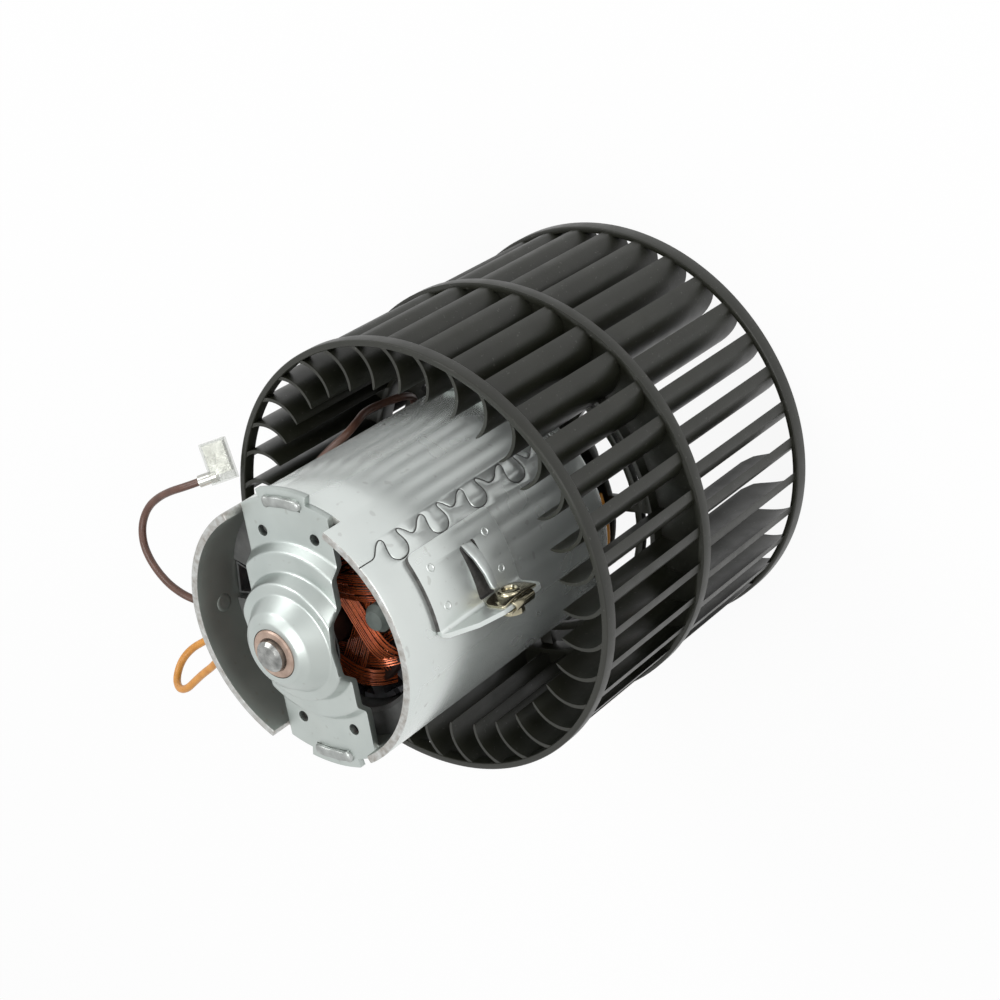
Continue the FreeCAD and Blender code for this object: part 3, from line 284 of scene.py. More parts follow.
# Slot: name, dark colour, light colour, shine, and what else differs from plain.
plainLooks = {
    "black_plastic": (
        "wheelPlastic", (0.0078, 0.0084, 0.0045), (0.0142, 0.0150, 0.0092), (0.34, 0.48),
        {"dust": (0.10, 0.10, 0.09), "scale": 60.0, "shineScale": 160.0,
         "grain": 0.00003, "grainScale": 2400.0},
    ),
    "cut_edge": ("cutSheetEdge", (0.30, 0.275, 0.245), (0.60, 0.62, 0.61), (0.24, 0.42),
        {"metal": 0.85, "grain": 0.00005, "scale": 520.0}),
    "worn_zinc": ("hammeredZinc", (0.24, 0.25, 0.24), (0.46, 0.48, 0.465), (0.28, 0.44),
        {"metal": 0.85, "grain": 0.00015, "grainScale": 420.0}),
    # seam_shadow is painted shade: the dark walls of the seam groove, the crevice under the
    # brackets' edges and the pocket under their slots.
    "seam_shadow": ("seamGroove", (0.05, 0.048, 0.045), (0.14, 0.135, 0.13), (0.5, 0.7),
        {"metal": 0.4, "scale": 500.0}),
    "bronze": ("sinteredBronze", (0.29, 0.20, 0.155), (0.50, 0.38, 0.31), (0.36, 0.55),
        {"metal": 0.6, "grain": 0.00006}),
    "spring_steel": ("springSteel", (0.20, 0.20, 0.20), (0.42, 0.42, 0.43), (0.28, 0.45),
        {"metal": 0.95}),
    "felt": ("oiledFelt", (0.035, 0.027, 0.018), (0.09, 0.072, 0.05), (0.8, 0.95),
        {"grain": 0.0003, "grainScale": 900.0}),
    "ferrite": ("magnetFerrite", (0.07, 0.071, 0.07), (0.17, 0.172, 0.168), (0.35, 0.55),
        {"grain": 0.00006, "scale": 160.0}),
    "passivated_steel": ("nutPassivate", (0.13, 0.115, 0.075), (0.62, 0.57, 0.42), (0.12, 0.26),
        {"metal": 1.0, "scale": 190.0}),
    "board": ("phenolicBoard", (0.16, 0.08, 0.035), (0.30, 0.17, 0.08), (0.35, 0.55),
        {"grain": 0.00003}),
    "brass": ("brushBoxBrass", (0.45, 0.32, 0.13), (0.68, 0.53, 0.26), (0.25, 0.42),
        {"metal": 1.0}),
    "carbon": ("brushCarbon", (0.03, 0.03, 0.032), (0.08, 0.075, 0.072), (0.45, 0.65),
        {"grain": 0.00005}),
    "copper": ("enamelledCopper", (0.38, 0.065, 0.016), (0.76, 0.17, 0.045), (0.22, 0.32),
        {"metal": 0.6, "coat": 0.6, "scale": 300.0, "grain": 0.000005}),
    # coil_bed: dark varnish, and painted shade in the gaps under and between the wires; also used
    # for the rear insulator and washer.
    "coil_bed": ("varnishedCoil", (0.006, 0.003, 0.002), (0.022, 0.009, 0.006), (0.35, 0.5),
        {"grain": 0.0001, "grainScale": 700.0}),
    "brown_insulation": (
        "brownInsulation", (0.075, 0.033, 0.022), (0.13, 0.062, 0.042), (0.32, 0.46),
        {},
    ),
    "orange_insulation": ("orangeInsulation", (0.50, 0.20, 0.028), (0.68, 0.31, 0.06), (0.3, 0.45),
        {}),
    "tinned_brass": ("tinnedBrass", (0.38, 0.38, 0.35), (0.66, 0.66, 0.62), (0.18, 0.34),
        {"metal": 1.0}),
    "clear_nylon": ("clearNylon", (0.30, 0.31, 0.28), (0.62, 0.63, 0.60), (0.04, 0.1),
        {"clear": 0.8, "film": (0.97, 0.975, 0.965, 1)}),
    "shaft_steel": ("groundShaft", (0.15, 0.155, 0.15), (0.42, 0.425, 0.41), (0.2, 0.4),
        {"metal": 0.95, "grain": 0.00016, "grainScale": 420.0, "scale": 380.0}),
    "core_steel": ("laminatedCore", (0.12, 0.12, 0.13), (0.26, 0.26, 0.28), (0.35, 0.55),
        {"metal": 0.8}),
    "putty": ("balancePutty", (0.075, 0.09, 0.082), (0.125, 0.145, 0.132), (0.5, 0.7),
        {"grain": 0.0001, "grainScale": 500.0}),
}
for slot, (name, dark, light, shine, rest) in plainLooks.items():
    finishes[slot] = plainFinish(name, {"dark": dark, "light": light, "shine": shine, **rest})


def clothe(piece, *materials):
    piece.data.materials.clear()
    for material in materials:
        piece.data.materials.append(material)


def clotheCarried():
    slots = {part["node"]: part["material_slot"] for part in frame["record"]["subparts"]}
    for name, piece in nodes.items():
        clothe(piece, finishes[slots[name]])
    for name in ("rear_insulator", "rear_washer"):
        clothe(nodes[name], finishes["coil_bed"])


clotheCarried()
print("materials made:", len(finishes))


# Leads

leadSet = {
    "diameter": 0.0027, "brown": 0.2451, "orange": 0.2698, "along": 8, "around": 5,
}


def station(radius, angle, height):
    return polar(radius, math.radians(angle), height)


brownRoute = [
    (-6, 37.2, 66.6), (4, 38.6, 66.6), (15, 38.2, 66.9),
    (25, 36.8, 67.3), (30.2, 34.6, 68), (34.4, 32.6, 70.6),
    station(48.4, 40.8, 75.2), station(49.3, 40.6, 80.8), station(50.2, 41, 87.5),
    station(50.4, 40.5, 94.5), station(48.6, 39.5, 100.5), station(46.9, 41, 106.5),
    station(47, 48, 111.5), station(48.3, 58, 114.5), station(49.5, 70, 115.8),
    station(50.5, 82, 115.7), station(51.6, 94, 116.3), (-12.6, 52.6, 120.3),
    (-17, 58.6, 127), (-19.8, 67, 133), (-20, 76, 138),
    (-17, 83.5, 142), (-13, 90.5, 143.3), (-9, 97, 142.3),
    (-5, 102.8, 140.3), (-0.6, 106.8, 138), (5, 107.8, 135.7),
    (10.8, 104.8, 134), (15, 99, 133.3), (18.2, 92, 133),
    (20.2, 85.6, 132.2), (21.4, 81.2, 128.9),
]
orangeRoute = [
    (6, -37, 66.6), (-3, -38.8, 66.8), (-12, -38, 67.6),
    station(41, -122, 68.2), station(41, -139, 68.2), station(41, -157, 68.2),
    station(41.3, -174, 68.3), station(42.5, 169, 68.8), station(45.8, 156, 70.6),
    station(49.4, 147, 75.5), station(50.8, 141, 84), station(50.8, 137.5, 94),
    station(50.6, 134, 104), (-28, 44.6, 113.5), (-26.5, 47, 121),
    (-27, 54, 126.5), (-28.8, 65, 129.8), (-33.2, 81, 131.8),
    (-38.5, 91.5, 134.6), (-41.5, 96.8, 136.6), (-45.5, 100, 139.6),
    (-50, 99.3, 144), (-51.3, 94.5, 147.6), (-49.8, 89.3, 148.4),
    (-45.7, 84.3, 147.9), (-41.6, 79, 148), (-37.8, 73.3, 148.3),
    (-33.2, 68, 148.6), (-27.2, 64, 148.3), (-20.8, 62.3, 147.6),
]


def rodAlong(name, places, radius, along, around):
    # A round rod along a soft line led by its places.
    curve = bpy.data.curves.new(name, "CURVE")
    curve.dimensions = "3D"
    curve.resolution_u = along
    curve.bevel_depth = radius
    curve.bevel_resolution = around
    curve.use_fill_caps = True
    spline = curve.splines.new("NURBS")
    spline.points.add(len(places) - 1)
    for point, place in zip(spline.points, places):
        point.co = (*(Vector(place) * mm), 1)
    spline.order_u = 3
    spline.use_endpoint_u = True
    return linked(name, curve)


def makeLead(colour, route):
    s = leadSet
    lead = rodAlong(colour + "Lead", route, s["diameter"] / 2, s["along"], s["around"])
    clothe(lead, finishes[colour + "_insulation"])
    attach(lead, "motor")
    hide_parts(colour + "_lead")


makeLead("brown", brownRoute)
makeLead("orange", orangeRoute)
print("leads laid")


# Mesh helpers

mergeGap = 0.002 * mm


def meshPiece(name, points, faces):
    mesh = bpy.data.meshes.new(name)
    mesh.from_pydata([Vector(point) * mm for point in points], [], faces)
    return linked(name, mesh)


def meshFrom(name, shape):
    mesh = bpy.data.meshes.new(name)
    shape.to_mesh(mesh)
    shape.free()
    return linked(name, mesh)


def smoothed(piece, sharp):
    for face in piece.data.polygons:
        face.use_smooth = True
    piece.data.set_sharp_from_angle(angle=math.radians(sharp))


def tidyNormals(piece, sharp):
    shape = bmesh.new()
    shape.from_mesh(piece.data)
    bmesh.ops.remove_doubles(shape, verts=shape.verts, dist=mergeGap)
    bmesh.ops.recalc_face_normals(shape, faces=shape.faces)
    shape.to_mesh(piece.data)
    shape.free()
    smoothed(piece, sharp)
    return piece


def bevelled(piece, width, segments=2, angle=50):
    rounded = piece.modifiers.new("edges", "BEVEL")
    rounded.width = width * mm
    rounded.segments = segments
    rounded.limit_method = "ANGLE"
    rounded.angle_limit = math.radians(angle)
    return piece


def cutBy(piece, tool, **settings):
    cut = piece.modifiers.new("cut", "BOOLEAN")
    cut.operation = "DIFFERENCE"
    cut.solver = "EXACT"
    cut.object = tool
    for name, value in settings.items():
        setattr(cut, name, value)


def evaluated(piece):
    graph = bpy.context.evaluated_depsgraph_get()
    return bpy.data.meshes.new_from_object(piece.evaluated_get(graph))


def settled(piece, *tools):
    # The piece with its modifiers turned into a plain mesh; the tools go.
    mesh = evaluated(piece)
    piece.modifiers.clear()
    piece.data = mesh
    mesh.name = piece.name
    for tool in tools:
        bpy.data.objects.remove(tool)
    return piece


def finishPiece(piece, body, slot, material, *replaced):
    if material:
        clothe(piece, material)
    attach(piece, body)
    if replaced:
        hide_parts(*replaced)


def spread(start, end, count):
    return [start + (end - start) * step / count for step in range(count)]


def bands(steps, count, first=0, ring=False):
    # Quads over sections of count points; ring joins the last section to the first.
    faces = []
    for step in range(steps if ring else steps - 1):
        a, b = first + step * count, first + (step + 1) % steps * count
        for index in range(count):
            after = (index + 1) % count
            faces.append((a + index, b + index, b + after, a + after))
    return faces


def skinned(name, groups, sharp, ring=False):
    # One mesh over groups of sections, each a ring or a bar with capped ends.
    points, faces = [], []
    for sections in groups:
        first, count = len(points), len(sections[0])
        points += [point for section in sections for point in section]
        faces += bands(len(sections), count, first, ring)
        if not ring:
            last = len(points) - count
            faces.append(tuple(first + index for index in reversed(range(count))))
            faces.append(tuple(last + index for index in range(count)))
    return tidyNormals(meshPiece(name, points, faces), sharp)


def latheProfile(name, profile, steps=180):
    # A closed ring from its section (radius, height).
    angles = spread(0, 2 * math.pi, steps)
    sections = [[polar(radius, angle, high) for radius, high in profile] for angle in angles]
    return skinned(name, [sections], 30, ring=True)


def roundedBox(left, bottom, right, top, radius, steps=3):
    corners = [(right, bottom, -90), (right, top, 0), (left, top, 90), (left, bottom, 180)]
    profile = []
    for x, y, start in corners:
        centreX = x - radius if x == right else x + radius
        centreY = y - radius if y == top else y + radius
        for step in range(steps + 1):
            turn = polar(radius, math.radians(start + 90 * step / steps))
            profile.append((centreX + turn.x, centreY + turn.y))
    return profile


def rounding(before, here, after, steps):
    # The points that replace a corner (x, y, radius) between its neighbours.
    spot = Vector(here[:2])
    if here[2] == 0:
        return [spot]
    back = (Vector(before[:2]) - spot).normalized()
    ahead = (Vector(after[:2]) - spot).normalized()
    run = here[2] / math.tan(back.angle(ahead) / 2)
    start, end = spot + back * run, spot + ahead * run
    shares = [step / steps for step in range(steps + 1)]
    return [start * (1 - t) ** 2 + spot * 2 * t * (1 - t) + end * t**2 for t in shares]


def softLine(corners, steps=5):
    line = [Vector(corners[0][:2])]
    for before, here, after in zip(corners, corners[1:], corners[2:]):
        line += rounding(before, here, after, steps)
    return line + [Vector(corners[-1][:2])]


def roundedOutline(corners, steps=4):
    line = []
    for before, here, after in zip(corners[-1:] + corners, corners, corners[1:] + corners[:1]):
        line += rounding(before, here, after, steps)
    return line


# Node groups


def nodeTree(name, kinds):
    tree = bpy.data.node_groups.new(name, "GeometryNodeTree")
    new = tree.interface.new_socket
    new("Geometry", in_out="OUTPUT", socket_type="NodeSocketGeometry")
    sockets = {}
    for label, kind in kinds.items():
        socket = new(label, in_out="INPUT", socket_type="NodeSocket" + kind)
        sockets[label] = socket.identifier
    return tree, sockets, addNode(tree, "NodeGroupInput").outputs


def pointsOf(tree, count):
    links = {"Count": count, "Offset": (0, 0, 0)}
    return addNode(tree, "GeometryNodeMeshLine", links).outputs["Mesh"]


def copiesOf(tree, model, links):
    shown = addNode(tree, "GeometryNodeObjectInfo", {"Object": model}).outputs["Geometry"]
    copies = addNode(tree, "GeometryNodeInstanceOnPoints", {"Instance": shown, **links})
    return addNode(tree, "GeometryNodeRealizeInstances", {"Geometry": copies.outputs[0]}).outputs[0]


def dressed(tree, geometry, material):
    links = {"Geometry": geometry, "Material": material}
    return addNode(tree, "GeometryNodeSetMaterial", links).outputs[0]


def joined(tree, *geometries):
    node = addNode(tree, "GeometryNodeJoinGeometry")
    for geometry in geometries:
        tree.links.new(geometry, node.inputs[0])
    return node.outputs[0]


def combined(tree, **links):
    return addNode(tree, "ShaderNodeCombineXYZ", links).outputs[0]


def grow(piece, tree, sockets, values):
    grown = piece.modifiers.new("grown", "NODES")
    grown.node_group = tree
    for label, value in values.items():
        grown[sockets[label]] = value


# Wheel rows: blades round a circle, with their rim

wheelSet = {
    "radius": 75, "rimWall": 2.2, "rimCorner": 0.5, "tip": 58.5, "curve": 11.7,
    "curveInset": 11.3, "curveLead": 10, "wall": 1.1, "tipWall": 0.85, "wallGrowth": 0.35,
    "nose": 0.35, "columns": 14, "corner": 14.2, "count": 36, "turn": 2.95,
    "rows": {
        "nearRow": {
            "foot": 63.4,
            "top": 118.6,
            "rim": (114.2, 119),
            "lag": 0,
            "replaces": ("near_blades", "near_rim"),
        },
        "farRow": {
            "foot": 0.3,
            "top": 62,
            "rim": (0, 5.4),
            "lag": 5,
            "replaces": ("far_blades", "far_rim"),
        },
    },
}


def bladeTemplate(name, foot, top, rounded):
    # One blade from its tip to the rim: a curved strip whose ends follow the rim's seat.
    s = wheelSet
    centreRadius = s["radius"] - s["curveInset"]
    lead = math.radians(s["curveLead"])
    centre = polar(centreRadius, lead)
    outerRadius = s["radius"] - s["rimWall"] / 2

    def swing(limit, curve):
        ratio = (limit**2 - centreRadius**2 - curve**2) / (2 * centreRadius * curve)
        return lead - math.acos(ratio)

    columns = s["columns"]
    sections = []
    for column in range(columns + 1):
        share = column / columns
        nose = s["nose"] if column == 0 else 1.0
        wall = s["wall"] * (s["tipWall"] + s["wallGrowth"] * share) * nose
        section = []
        for side in (-1, 1):
            curve = s["curve"] + side * wall / 2
            start, end = swing(s["tip"], curve), swing(outerRadius, curve)
            spot = centre + polar(curve, start + (end - start) * share)
            reach = s["tip"] + s["corner"] - math.hypot(spot.x, spot.y)
            low = foot
            if rounded and reach > 0:
                low += s["corner"] - math.sqrt(max(s["corner"] ** 2 - reach**2, 0))
            section += [(spot.x, spot.y, low), (spot.x, spot.y, top)][::-side]
        sections.append(section)
    return skinned(name, [sections], 40)


def rowTree():
    # Copies of a blade turned about Z, joined with a rim.
    kinds = {
        "Rim": "Geometry",
        "Blade": "Object",
        "Count": "Int",
        "First angle": "Float",
        "Finish": "Material",
    }
    tree, sockets, inputs = nodeTree("bladeRow", kinds)
    index = addNode(tree, "GeometryNodeInputIndex").outputs[0]
    pitch = maths(tree, "DIVIDE", 2 * math.pi, inputs["Count"])
    angle = maths(tree, "MULTIPLY_ADD", index, pitch, inputs["First angle"])
    links = {"Points": pointsOf(tree, inputs["Count"]), "Rotation": combined(tree, Z=angle)}
    row = joined(tree, copiesOf(tree, inputs["Blade"], links), inputs["Rim"])
    output = addNode(tree, "NodeGroupOutput")
    tree.links.new(dressed(tree, row, inputs["Finish"]), output.inputs[0])
    return tree, sockets


def makeWheelRows():
    s = wheelSet
    tree, sockets = rowTree()
    black = finishes["black_plastic"]
    for name, row in s["rows"].items():
        blade = bladeTemplate(name + "Blade", row["foot"], row["top"], name == "farRow")
        low, high = row["rim"]
        section = roundedBox(s["radius"] - s["rimWall"], low, s["radius"], high, s["rimCorner"])
        rim = latheProfile(name, section)
        values = {
            "Blade": blade,
            "Count": s["count"],
            "First angle": math.radians(s["turn"] + row["lag"]),
            "Finish": black,
        }
        grow(rim, tree, sockets, values)
        settled(rim, blade)
        finishPiece(rim, "rotor", "black_plastic", black, *row["replaces"])


makeWheelRows()
print("wheel rows made")


# Rolled can with its puzzle seam

canSet = {
    "radius": 43.75, "wall": 2.6, "foot": 73, "top": 174, "notch": 7.7, "notchHalf": 28,
    "lugHalf": 9.5, "lugRise": 2.6, "tiers": (97, 115, 133, 150), "edge": 0.4,
    "outward": 0.85, "seamAngle": -47.5, "seamGroove": 0.22, "seamSwell": 1.15,
    "furrow": 0.95, "furrowDepth": 0.2, "bulbs": (158.2, 139.5, 120.8, 101.5, 83),
}
seamStart = [(-0.4, 176), (-0.4, 170.8), (-0.5, 168.3)]
seamBulb = [
    (0, 8.5), (2.0, 6.0), (2.9, 4), (2.8, 2.9), (1.8, 2.5), (0.3, 3.2),
    (-1.5, 3.9), (-3.2, 3.6), (-4.4, 1.7), (-4.4, -1.3), (-3.4, -3.3), (-1.6, -4.5),
    (0.4, -4.3), (2.1, -3.8), (3, -4.3), (3, -5.3), (1.4, -6.9), (-0.3, -8),
]


def canHolds(angle, height):
    # Solid sheet or notch, by the degrees from the nearer end of the bridges.
    s = canSet
    away = min(angle % 180, 180 - angle % 180)
    depth = min(s["top"] - height, height - s["foot"])
    if depth < 0:
        return False
    if away < s["lugHalf"]:
        return depth > s["notch"] - s["lugRise"]
    return away > s["notchHalf"] or depth > s["notch"]


def canShell():
    s = canSet
    lug = s["lugHalf"]
    angles = sorted(set(range(0, 360, 2)) | {lug, 180 - lug, 180 + lug, 360 - lug})
    tier = s["notch"] - s["lugRise"]
    heights = [s["foot"], s["foot"] + tier, s["foot"] + s["notch"], *s["tiers"]]
    heights += [s["top"] - s["notch"], s["top"] - tier, s["top"]]
    columns = len(angles)
    filled = {}
    for i, (angle, following) in enumerate(zip(angles, angles[1:] + [360])):
        for j, (low, high) in enumerate(zip(heights, heights[1:])):
            filled[i, j] = canHolds((angle + following) / 2, (low + high) / 2)

    points, faces = [], []

    def patch(*corners):
        first = len(points)
        for i, j, outer in corners:
            radius = s["radius"] if outer else s["radius"] - s["wall"]
            points.append(station(radius, angles[i % columns], heights[j]))
        faces.append(list(range(first, first + len(corners))))

    for (i, j), solid in filled.items():
        if not solid:
            continue
        for outer in (True, False):
            patch((i, j, outer), (i + 1, j, outer), (i + 1, j + 1, outer), (i, j + 1, outer))
        borders = {
            ((i + 1) % columns, j): ((i + 1, j), (i + 1, j + 1)),
            ((i - 1) % columns, j): ((i, j), (i, j + 1)),
            (i, j + 1): ((i, j + 1), (i + 1, j + 1)),
            (i, j - 1): ((i, j), (i + 1, j)),
        }
        for neighbour, (first, second) in borders.items():
            if not filled.get(neighbour, False):
                patch((*first, True), (*second, True), (*second, False), (*first, False))
    return tidyNormals(meshPiece("rolledCan", points, faces), 35)


def seamTool(radius, depth, finish):
    # A thin rod along the seam, on the outside of the can.
    s = canSet
    path = list(seamStart)
    for bulb in s["bulbs"]:
        path += [(arc, bulb + rise) for arc, rise in seamBulb if bulb + rise > s["foot"] + 0.5]
    path.append((0, s["foot"] - 2))
    places = []
    for arc, height in path:
        angle = math.radians(s["seamAngle"]) + s["seamSwell"] * arc / s["radius"]
        places.append(polar(radius, angle, height))
    rod = rodAlong("seamRod", places, depth * mm, 3, 2)
    tool = linked("seamCutter", evaluated(rod))
    bpy.data.objects.remove(rod)
    clothe(tool, finishes[finish])
    tool.hide_render = True
    return tool


def makeCan():
    s = canSet
    can = canShell()
    slots = ("zinc", "seam_shadow", "dull_zinc", "cut_edge")
    clothe(can, *(finishes[slot] for slot in slots))
    settled(bevelled(can, s["edge"]))
    floor = s["radius"] - s["furrowDepth"]
    # The narrow rod cuts the seam line, and its walls take the dark seam_shadow finish: painted
    # shade in the groove.
    tools = [(floor + s["furrow"], s["furrow"], "zinc"), (floor, s["seamGroove"], "seam_shadow")]
    for radius, depth, finish in tools:
        tool = seamTool(radius, depth, finish)
        cutBy(can, tool, material_mode="TRANSFER", use_self=True)
        settled(can, tool)
    for face in can.data.polygons:
        if face.material_index == slots.index("seam_shadow"):
            continue
        outward = Vector((face.center.x, face.center.y, 0)).normalized().dot(face.normal)
        slot = "zinc" if outward > s["outward"] else "cut_edge"
        face.material_index = slots.index("dull_zinc" if outward < -s["outward"] else slot)
    smoothed(can, 32)
    finishPiece(can, "motor", "zinc", None, "motor_can")


makeCan()


dentSet = {
    "below": 10.2, "steps": 32,
    "profile": [
        (3.1, -0.2), (2.9, 0.05), (2.5, 0.28), (1.9, 0.4), (1.5, 0.36), (1.0, 0.44),
        (0.5, 0.48),
    ],
}


def makeDents():
    # Round marks pressed into the can, seen as low bumps on its inside.
    s = dentSet
    inside = canSet["radius"] - canSet["wall"]
    middle = canSet["top"] - s["below"]
    groups = []
    for side in (1, -1):
        sections = []
        for radius, lift in s["profile"]:
            round = [polar(radius, angle) for angle in spread(0, 2 * math.pi, s["steps"])]
            depths = [side * (math.sqrt(inside**2 - spot.x**2) - lift) for spot in round]
            sections.append([(p.x, y, middle + p.y) for p, y in zip(round, depths)])
        groups.append(sections)
    dents = skinned("canDents", groups, 60)
    finishPiece(dents, "motor", "zinc", finishes["dull_zinc"])


makeDents()
print("can and its seam made")


# Pressed bearing bridges

bridgeSet = {
    "wall": 2.2, "halfWidth": 17.6, "reach": 43.75,
    "flat": (46.75, 44.0, 43.75, 42.4, 40.9, 38, 35, 32), "earHalf": 12.5, "slotHalf": 9.75,
    "slotInner": 40.9, "slotOuter": 44.0, "sideSteps": 16, "earSteps": 2, "slotSteps": 5,
    "hole": (32, 10.6), "holeRadius": 1.875, "drillDepth": 14, "edge": 0.35,
    "skin": [
        (43.75, 0, 0), (29.8, 0, 1.6), (27.4, 3.4, 1.6), (21.3, 3.4, 1.2), (19.4, 8.4, 1.3),
        (16.2, 8.4, 1.0), (12.6, 13.6, 3.0), (9.9, 15.5, 1.4), (8.1, 15.5, 0),
    ],
}


def addWall(shape, borders, pairs):
    # Closes a sheet: faces from the border of one side to the paired points.
    for border in borders:
        first, second = border.verts
        shape.faces.new((first, second, pairs[second], pairs[first]))
    bmesh.ops.recalc_face_normals(shape, faces=shape.faces)


def bridgeSheet(face, way):
    s = bridgeSet
    rings = [(radius, 0) for radius in s["flat"]]
    rings += [(point.x, point.y) for point in softLine(s["skin"])[1:]]
    sideSteps, ear, slot = s["sideSteps"], s["earHalf"], s["slotHalf"]
    shape = bmesh.new()
    for turned in (0, 180):
        grid = []
        for radius, rise in rings:
            share = min(s["halfWidth"] / radius, 1)
            half = spread(-math.degrees(math.asin(share)), -ear, sideSteps)
            half += spread(-ear, -slot, s["earSteps"]) + spread(-slot, 0, s["slotSteps"])
            angles = half + [0] + [-angle for angle in reversed(half)]
            places = [station(radius, turned + angle, face + way * rise) for angle in angles]
            grid.append([shape.verts.new(place * mm) for place in places])
        columns = len(angles) - 1
        for outer, inner, (radius, rise) in zip(grid, grid[1:], rings):
            for i in range(columns):
                away = min(i, columns - 1 - i)
                beyond = radius > s["reach"] and away < sideSteps
                within = s["slotInner"] < radius <= s["slotOuter"]
                if not beyond and not (within and away >= sideSteps + s["earSteps"]):
                    shape.faces.new((outer[i], outer[i + 1], inner[i + 1], inner[i]))
    loose = [vert for vert in shape.verts if not vert.link_faces]
    bmesh.ops.delete(shape, geom=loose, context="VERTS")
    bmesh.ops.remove_doubles(shape, verts=shape.verts, dist=mergeGap)
    below = bmesh.ops.duplicate(shape, geom=shape.verts[:] + shape.edges[:] + shape.faces[:])
    pairs = dict(below["vert_map"].items())
    moved = {item for item in below["geom"] if isinstance(item, bmesh.types.BMVert)}
    for vert in moved:
        vert.co.z -= way * s["wall"] * mm
    borders = [edge for edge in shape.edges if edge.is_boundary and edge.verts[0] not in moved]
    addWall(shape, borders, pairs)
    return shape


def makeBridge(name, face, way, node):
    s = bridgeSet
    bridge = meshFrom(name, bridgeSheet(face, way))
    clothe(bridge, finishes["pressed_zinc"])
    drill = bmesh.new()
    acrossX, acrossY = s["hole"]
    for x in (-acrossX, acrossX):
        for y in (-acrossY, acrossY):
            bmesh.ops.create_cone(
                drill,
                cap_ends=True,
                segments=32,
                radius1=s["holeRadius"] * mm,
                radius2=s["holeRadius"] * mm,
                depth=s["drillDepth"] * mm,
                matrix=Matrix.Translation(Vector((x, y, face)) * mm),
            )
    cutter = meshFrom("drill", drill)
    cutBy(bridge, cutter)
    settled(bevelled(bridge, s["edge"], angle=55), cutter)
    tidyNormals(bridge, 40)
    finishPiece(bridge, "motor", "zinc", finishes["pressed_zinc"], node)


makeBridge("rearPressing", 168.5, 1, "rear_bridge")
makeBridge("frontPressing", 78.5, -1, "front_bridge")
print("bridges pressed")


# Lug heads hammered over the bridges

lugSet = {
    "inner": 41.0, "outer": 44.6, "half": 10.6, "rise": 1.5, "root": 1.2, "steps": 28,
    "sides": 12, "blob": (0.16, 0.82, 0.12), "waist": (0.08, 0.6, 0.08), "wave": 0.03,
    "dimple": 0.05, "spots": [(168.3, 1, 0), (168.3, 1, 180), (78.7, -1, 0), (78.7, -1, 180)],
}


def hump(share, look):
    height, middle, span = look
    return height * math.exp(-(((share - middle) / span) ** 2))


def eased(value, power):
    return math.copysign(abs(value) ** power, value)


def makeLugs():
    s = lugSet
    middle = (s["inner"] + s["outer"]) / 2
    groups = []
    for face, way, turned in s["spots"]:
        sections = []
        for share in [2 * step / s["steps"] - 1 for step in range(s["steps"] + 1)]:
            swell = max(1 - abs(share) ** 9, 0.02) ** 0.5
            blob = 1 + hump(share, s["blob"])
            waist = 1 - hump(share, s["waist"]) + s["wave"] * math.sin(9 * share)
            wide = (s["outer"] - s["inner"]) / 2 * swell * blob * waist
            high = s["rise"] * swell * (blob - s["dimple"] * math.cos(7 * share))
            section = []
            for angle in spread(0, 2 * math.pi, s["sides"]):
                lift = eased(math.sin(angle), 0.6)
                height = face + way * lift * (high if lift > 0 else s["root"] * swell)
                radius = middle + eased(math.cos(angle), 0.55) * wide
                section.append(station(radius, turned + s["half"] * share, height))
            sections.append(section)
        groups.append(sections)
    lugs = skinned("lugHeads", groups, 50)
    finishPiece(lugs, "motor", "zinc", finishes["worn_zinc"])


makeLugs()
print("lug heads hammered")


# Coil ends of the armature

coilSet = {
    "coils": 12, "ends": {"rearCoils": (150.6, 1, 12), "frontCoils": (105.4, -1, 10)},
    "core": (9.2, 0.5, 26, 4, 1.5), "wire": 0.22, "sides": 5, "segments": 18, "pitch": 0.68,
    "reach": 24.2, "middle": 9.6, "bow": 1.2, "rise": 10.2, "strip": (0.54, 0.06, 0.14),
    "sway": 0.012, "twist": 0.07, "width": (0.98, 0.008), "height": (0.95, 0.02),
    "tiers": (5.0, 12.0, 0.00042), "aside": (-2.58, -2.42), "seed": 5,
}


def wirePath(way):
    s = coilSet
    path = []
    for share in [2 * step / s["segments"] - 1 for step in range(s["segments"] + 1)]:
        aside = s["middle"] + s["bow"] * (1 - share**2)
        lift = s["rise"] * (1 - abs(share) ** 5)
        path.append(Vector((aside, s["reach"] * eased(share, 0.8), way * lift)))
    return path


def wireTemplate(name, way):
    s = coilSet
    path = wirePath(way)
    sections = []
    for before, spot, after in zip(path[:1] + path, path, path[1:] + path[-1:]):
        ahead = (after - before).normalized()
        across = ahead.cross(Vector((0, 0, 1))).normalized()
        upward = across.cross(ahead)
        round = [polar(s["wire"], angle) for angle in spread(0, 2 * math.pi, s["sides"])]
        sections.append([spot + across * turn.x + upward * turn.y for turn in round])
    return skinned(name, [sections], 60)


def stripTemplate(name, way):
    # A dark strip under one wire, which closes the gap to the next one: partly varnish, partly
    # painted shade between the wires.
    share, thick, drop = coilSet["strip"]
    half = coilSet["pitch"] * share
    corners = [(-half, thick), (half, thick), (half, -thick), (-half, -thick)]
    shifts = [Vector((x, 0, way * (z - drop))) for x, z in corners]
    return skinned(name, [[[spot + shift for shift in shifts] for spot in wirePath(way)]], 40)


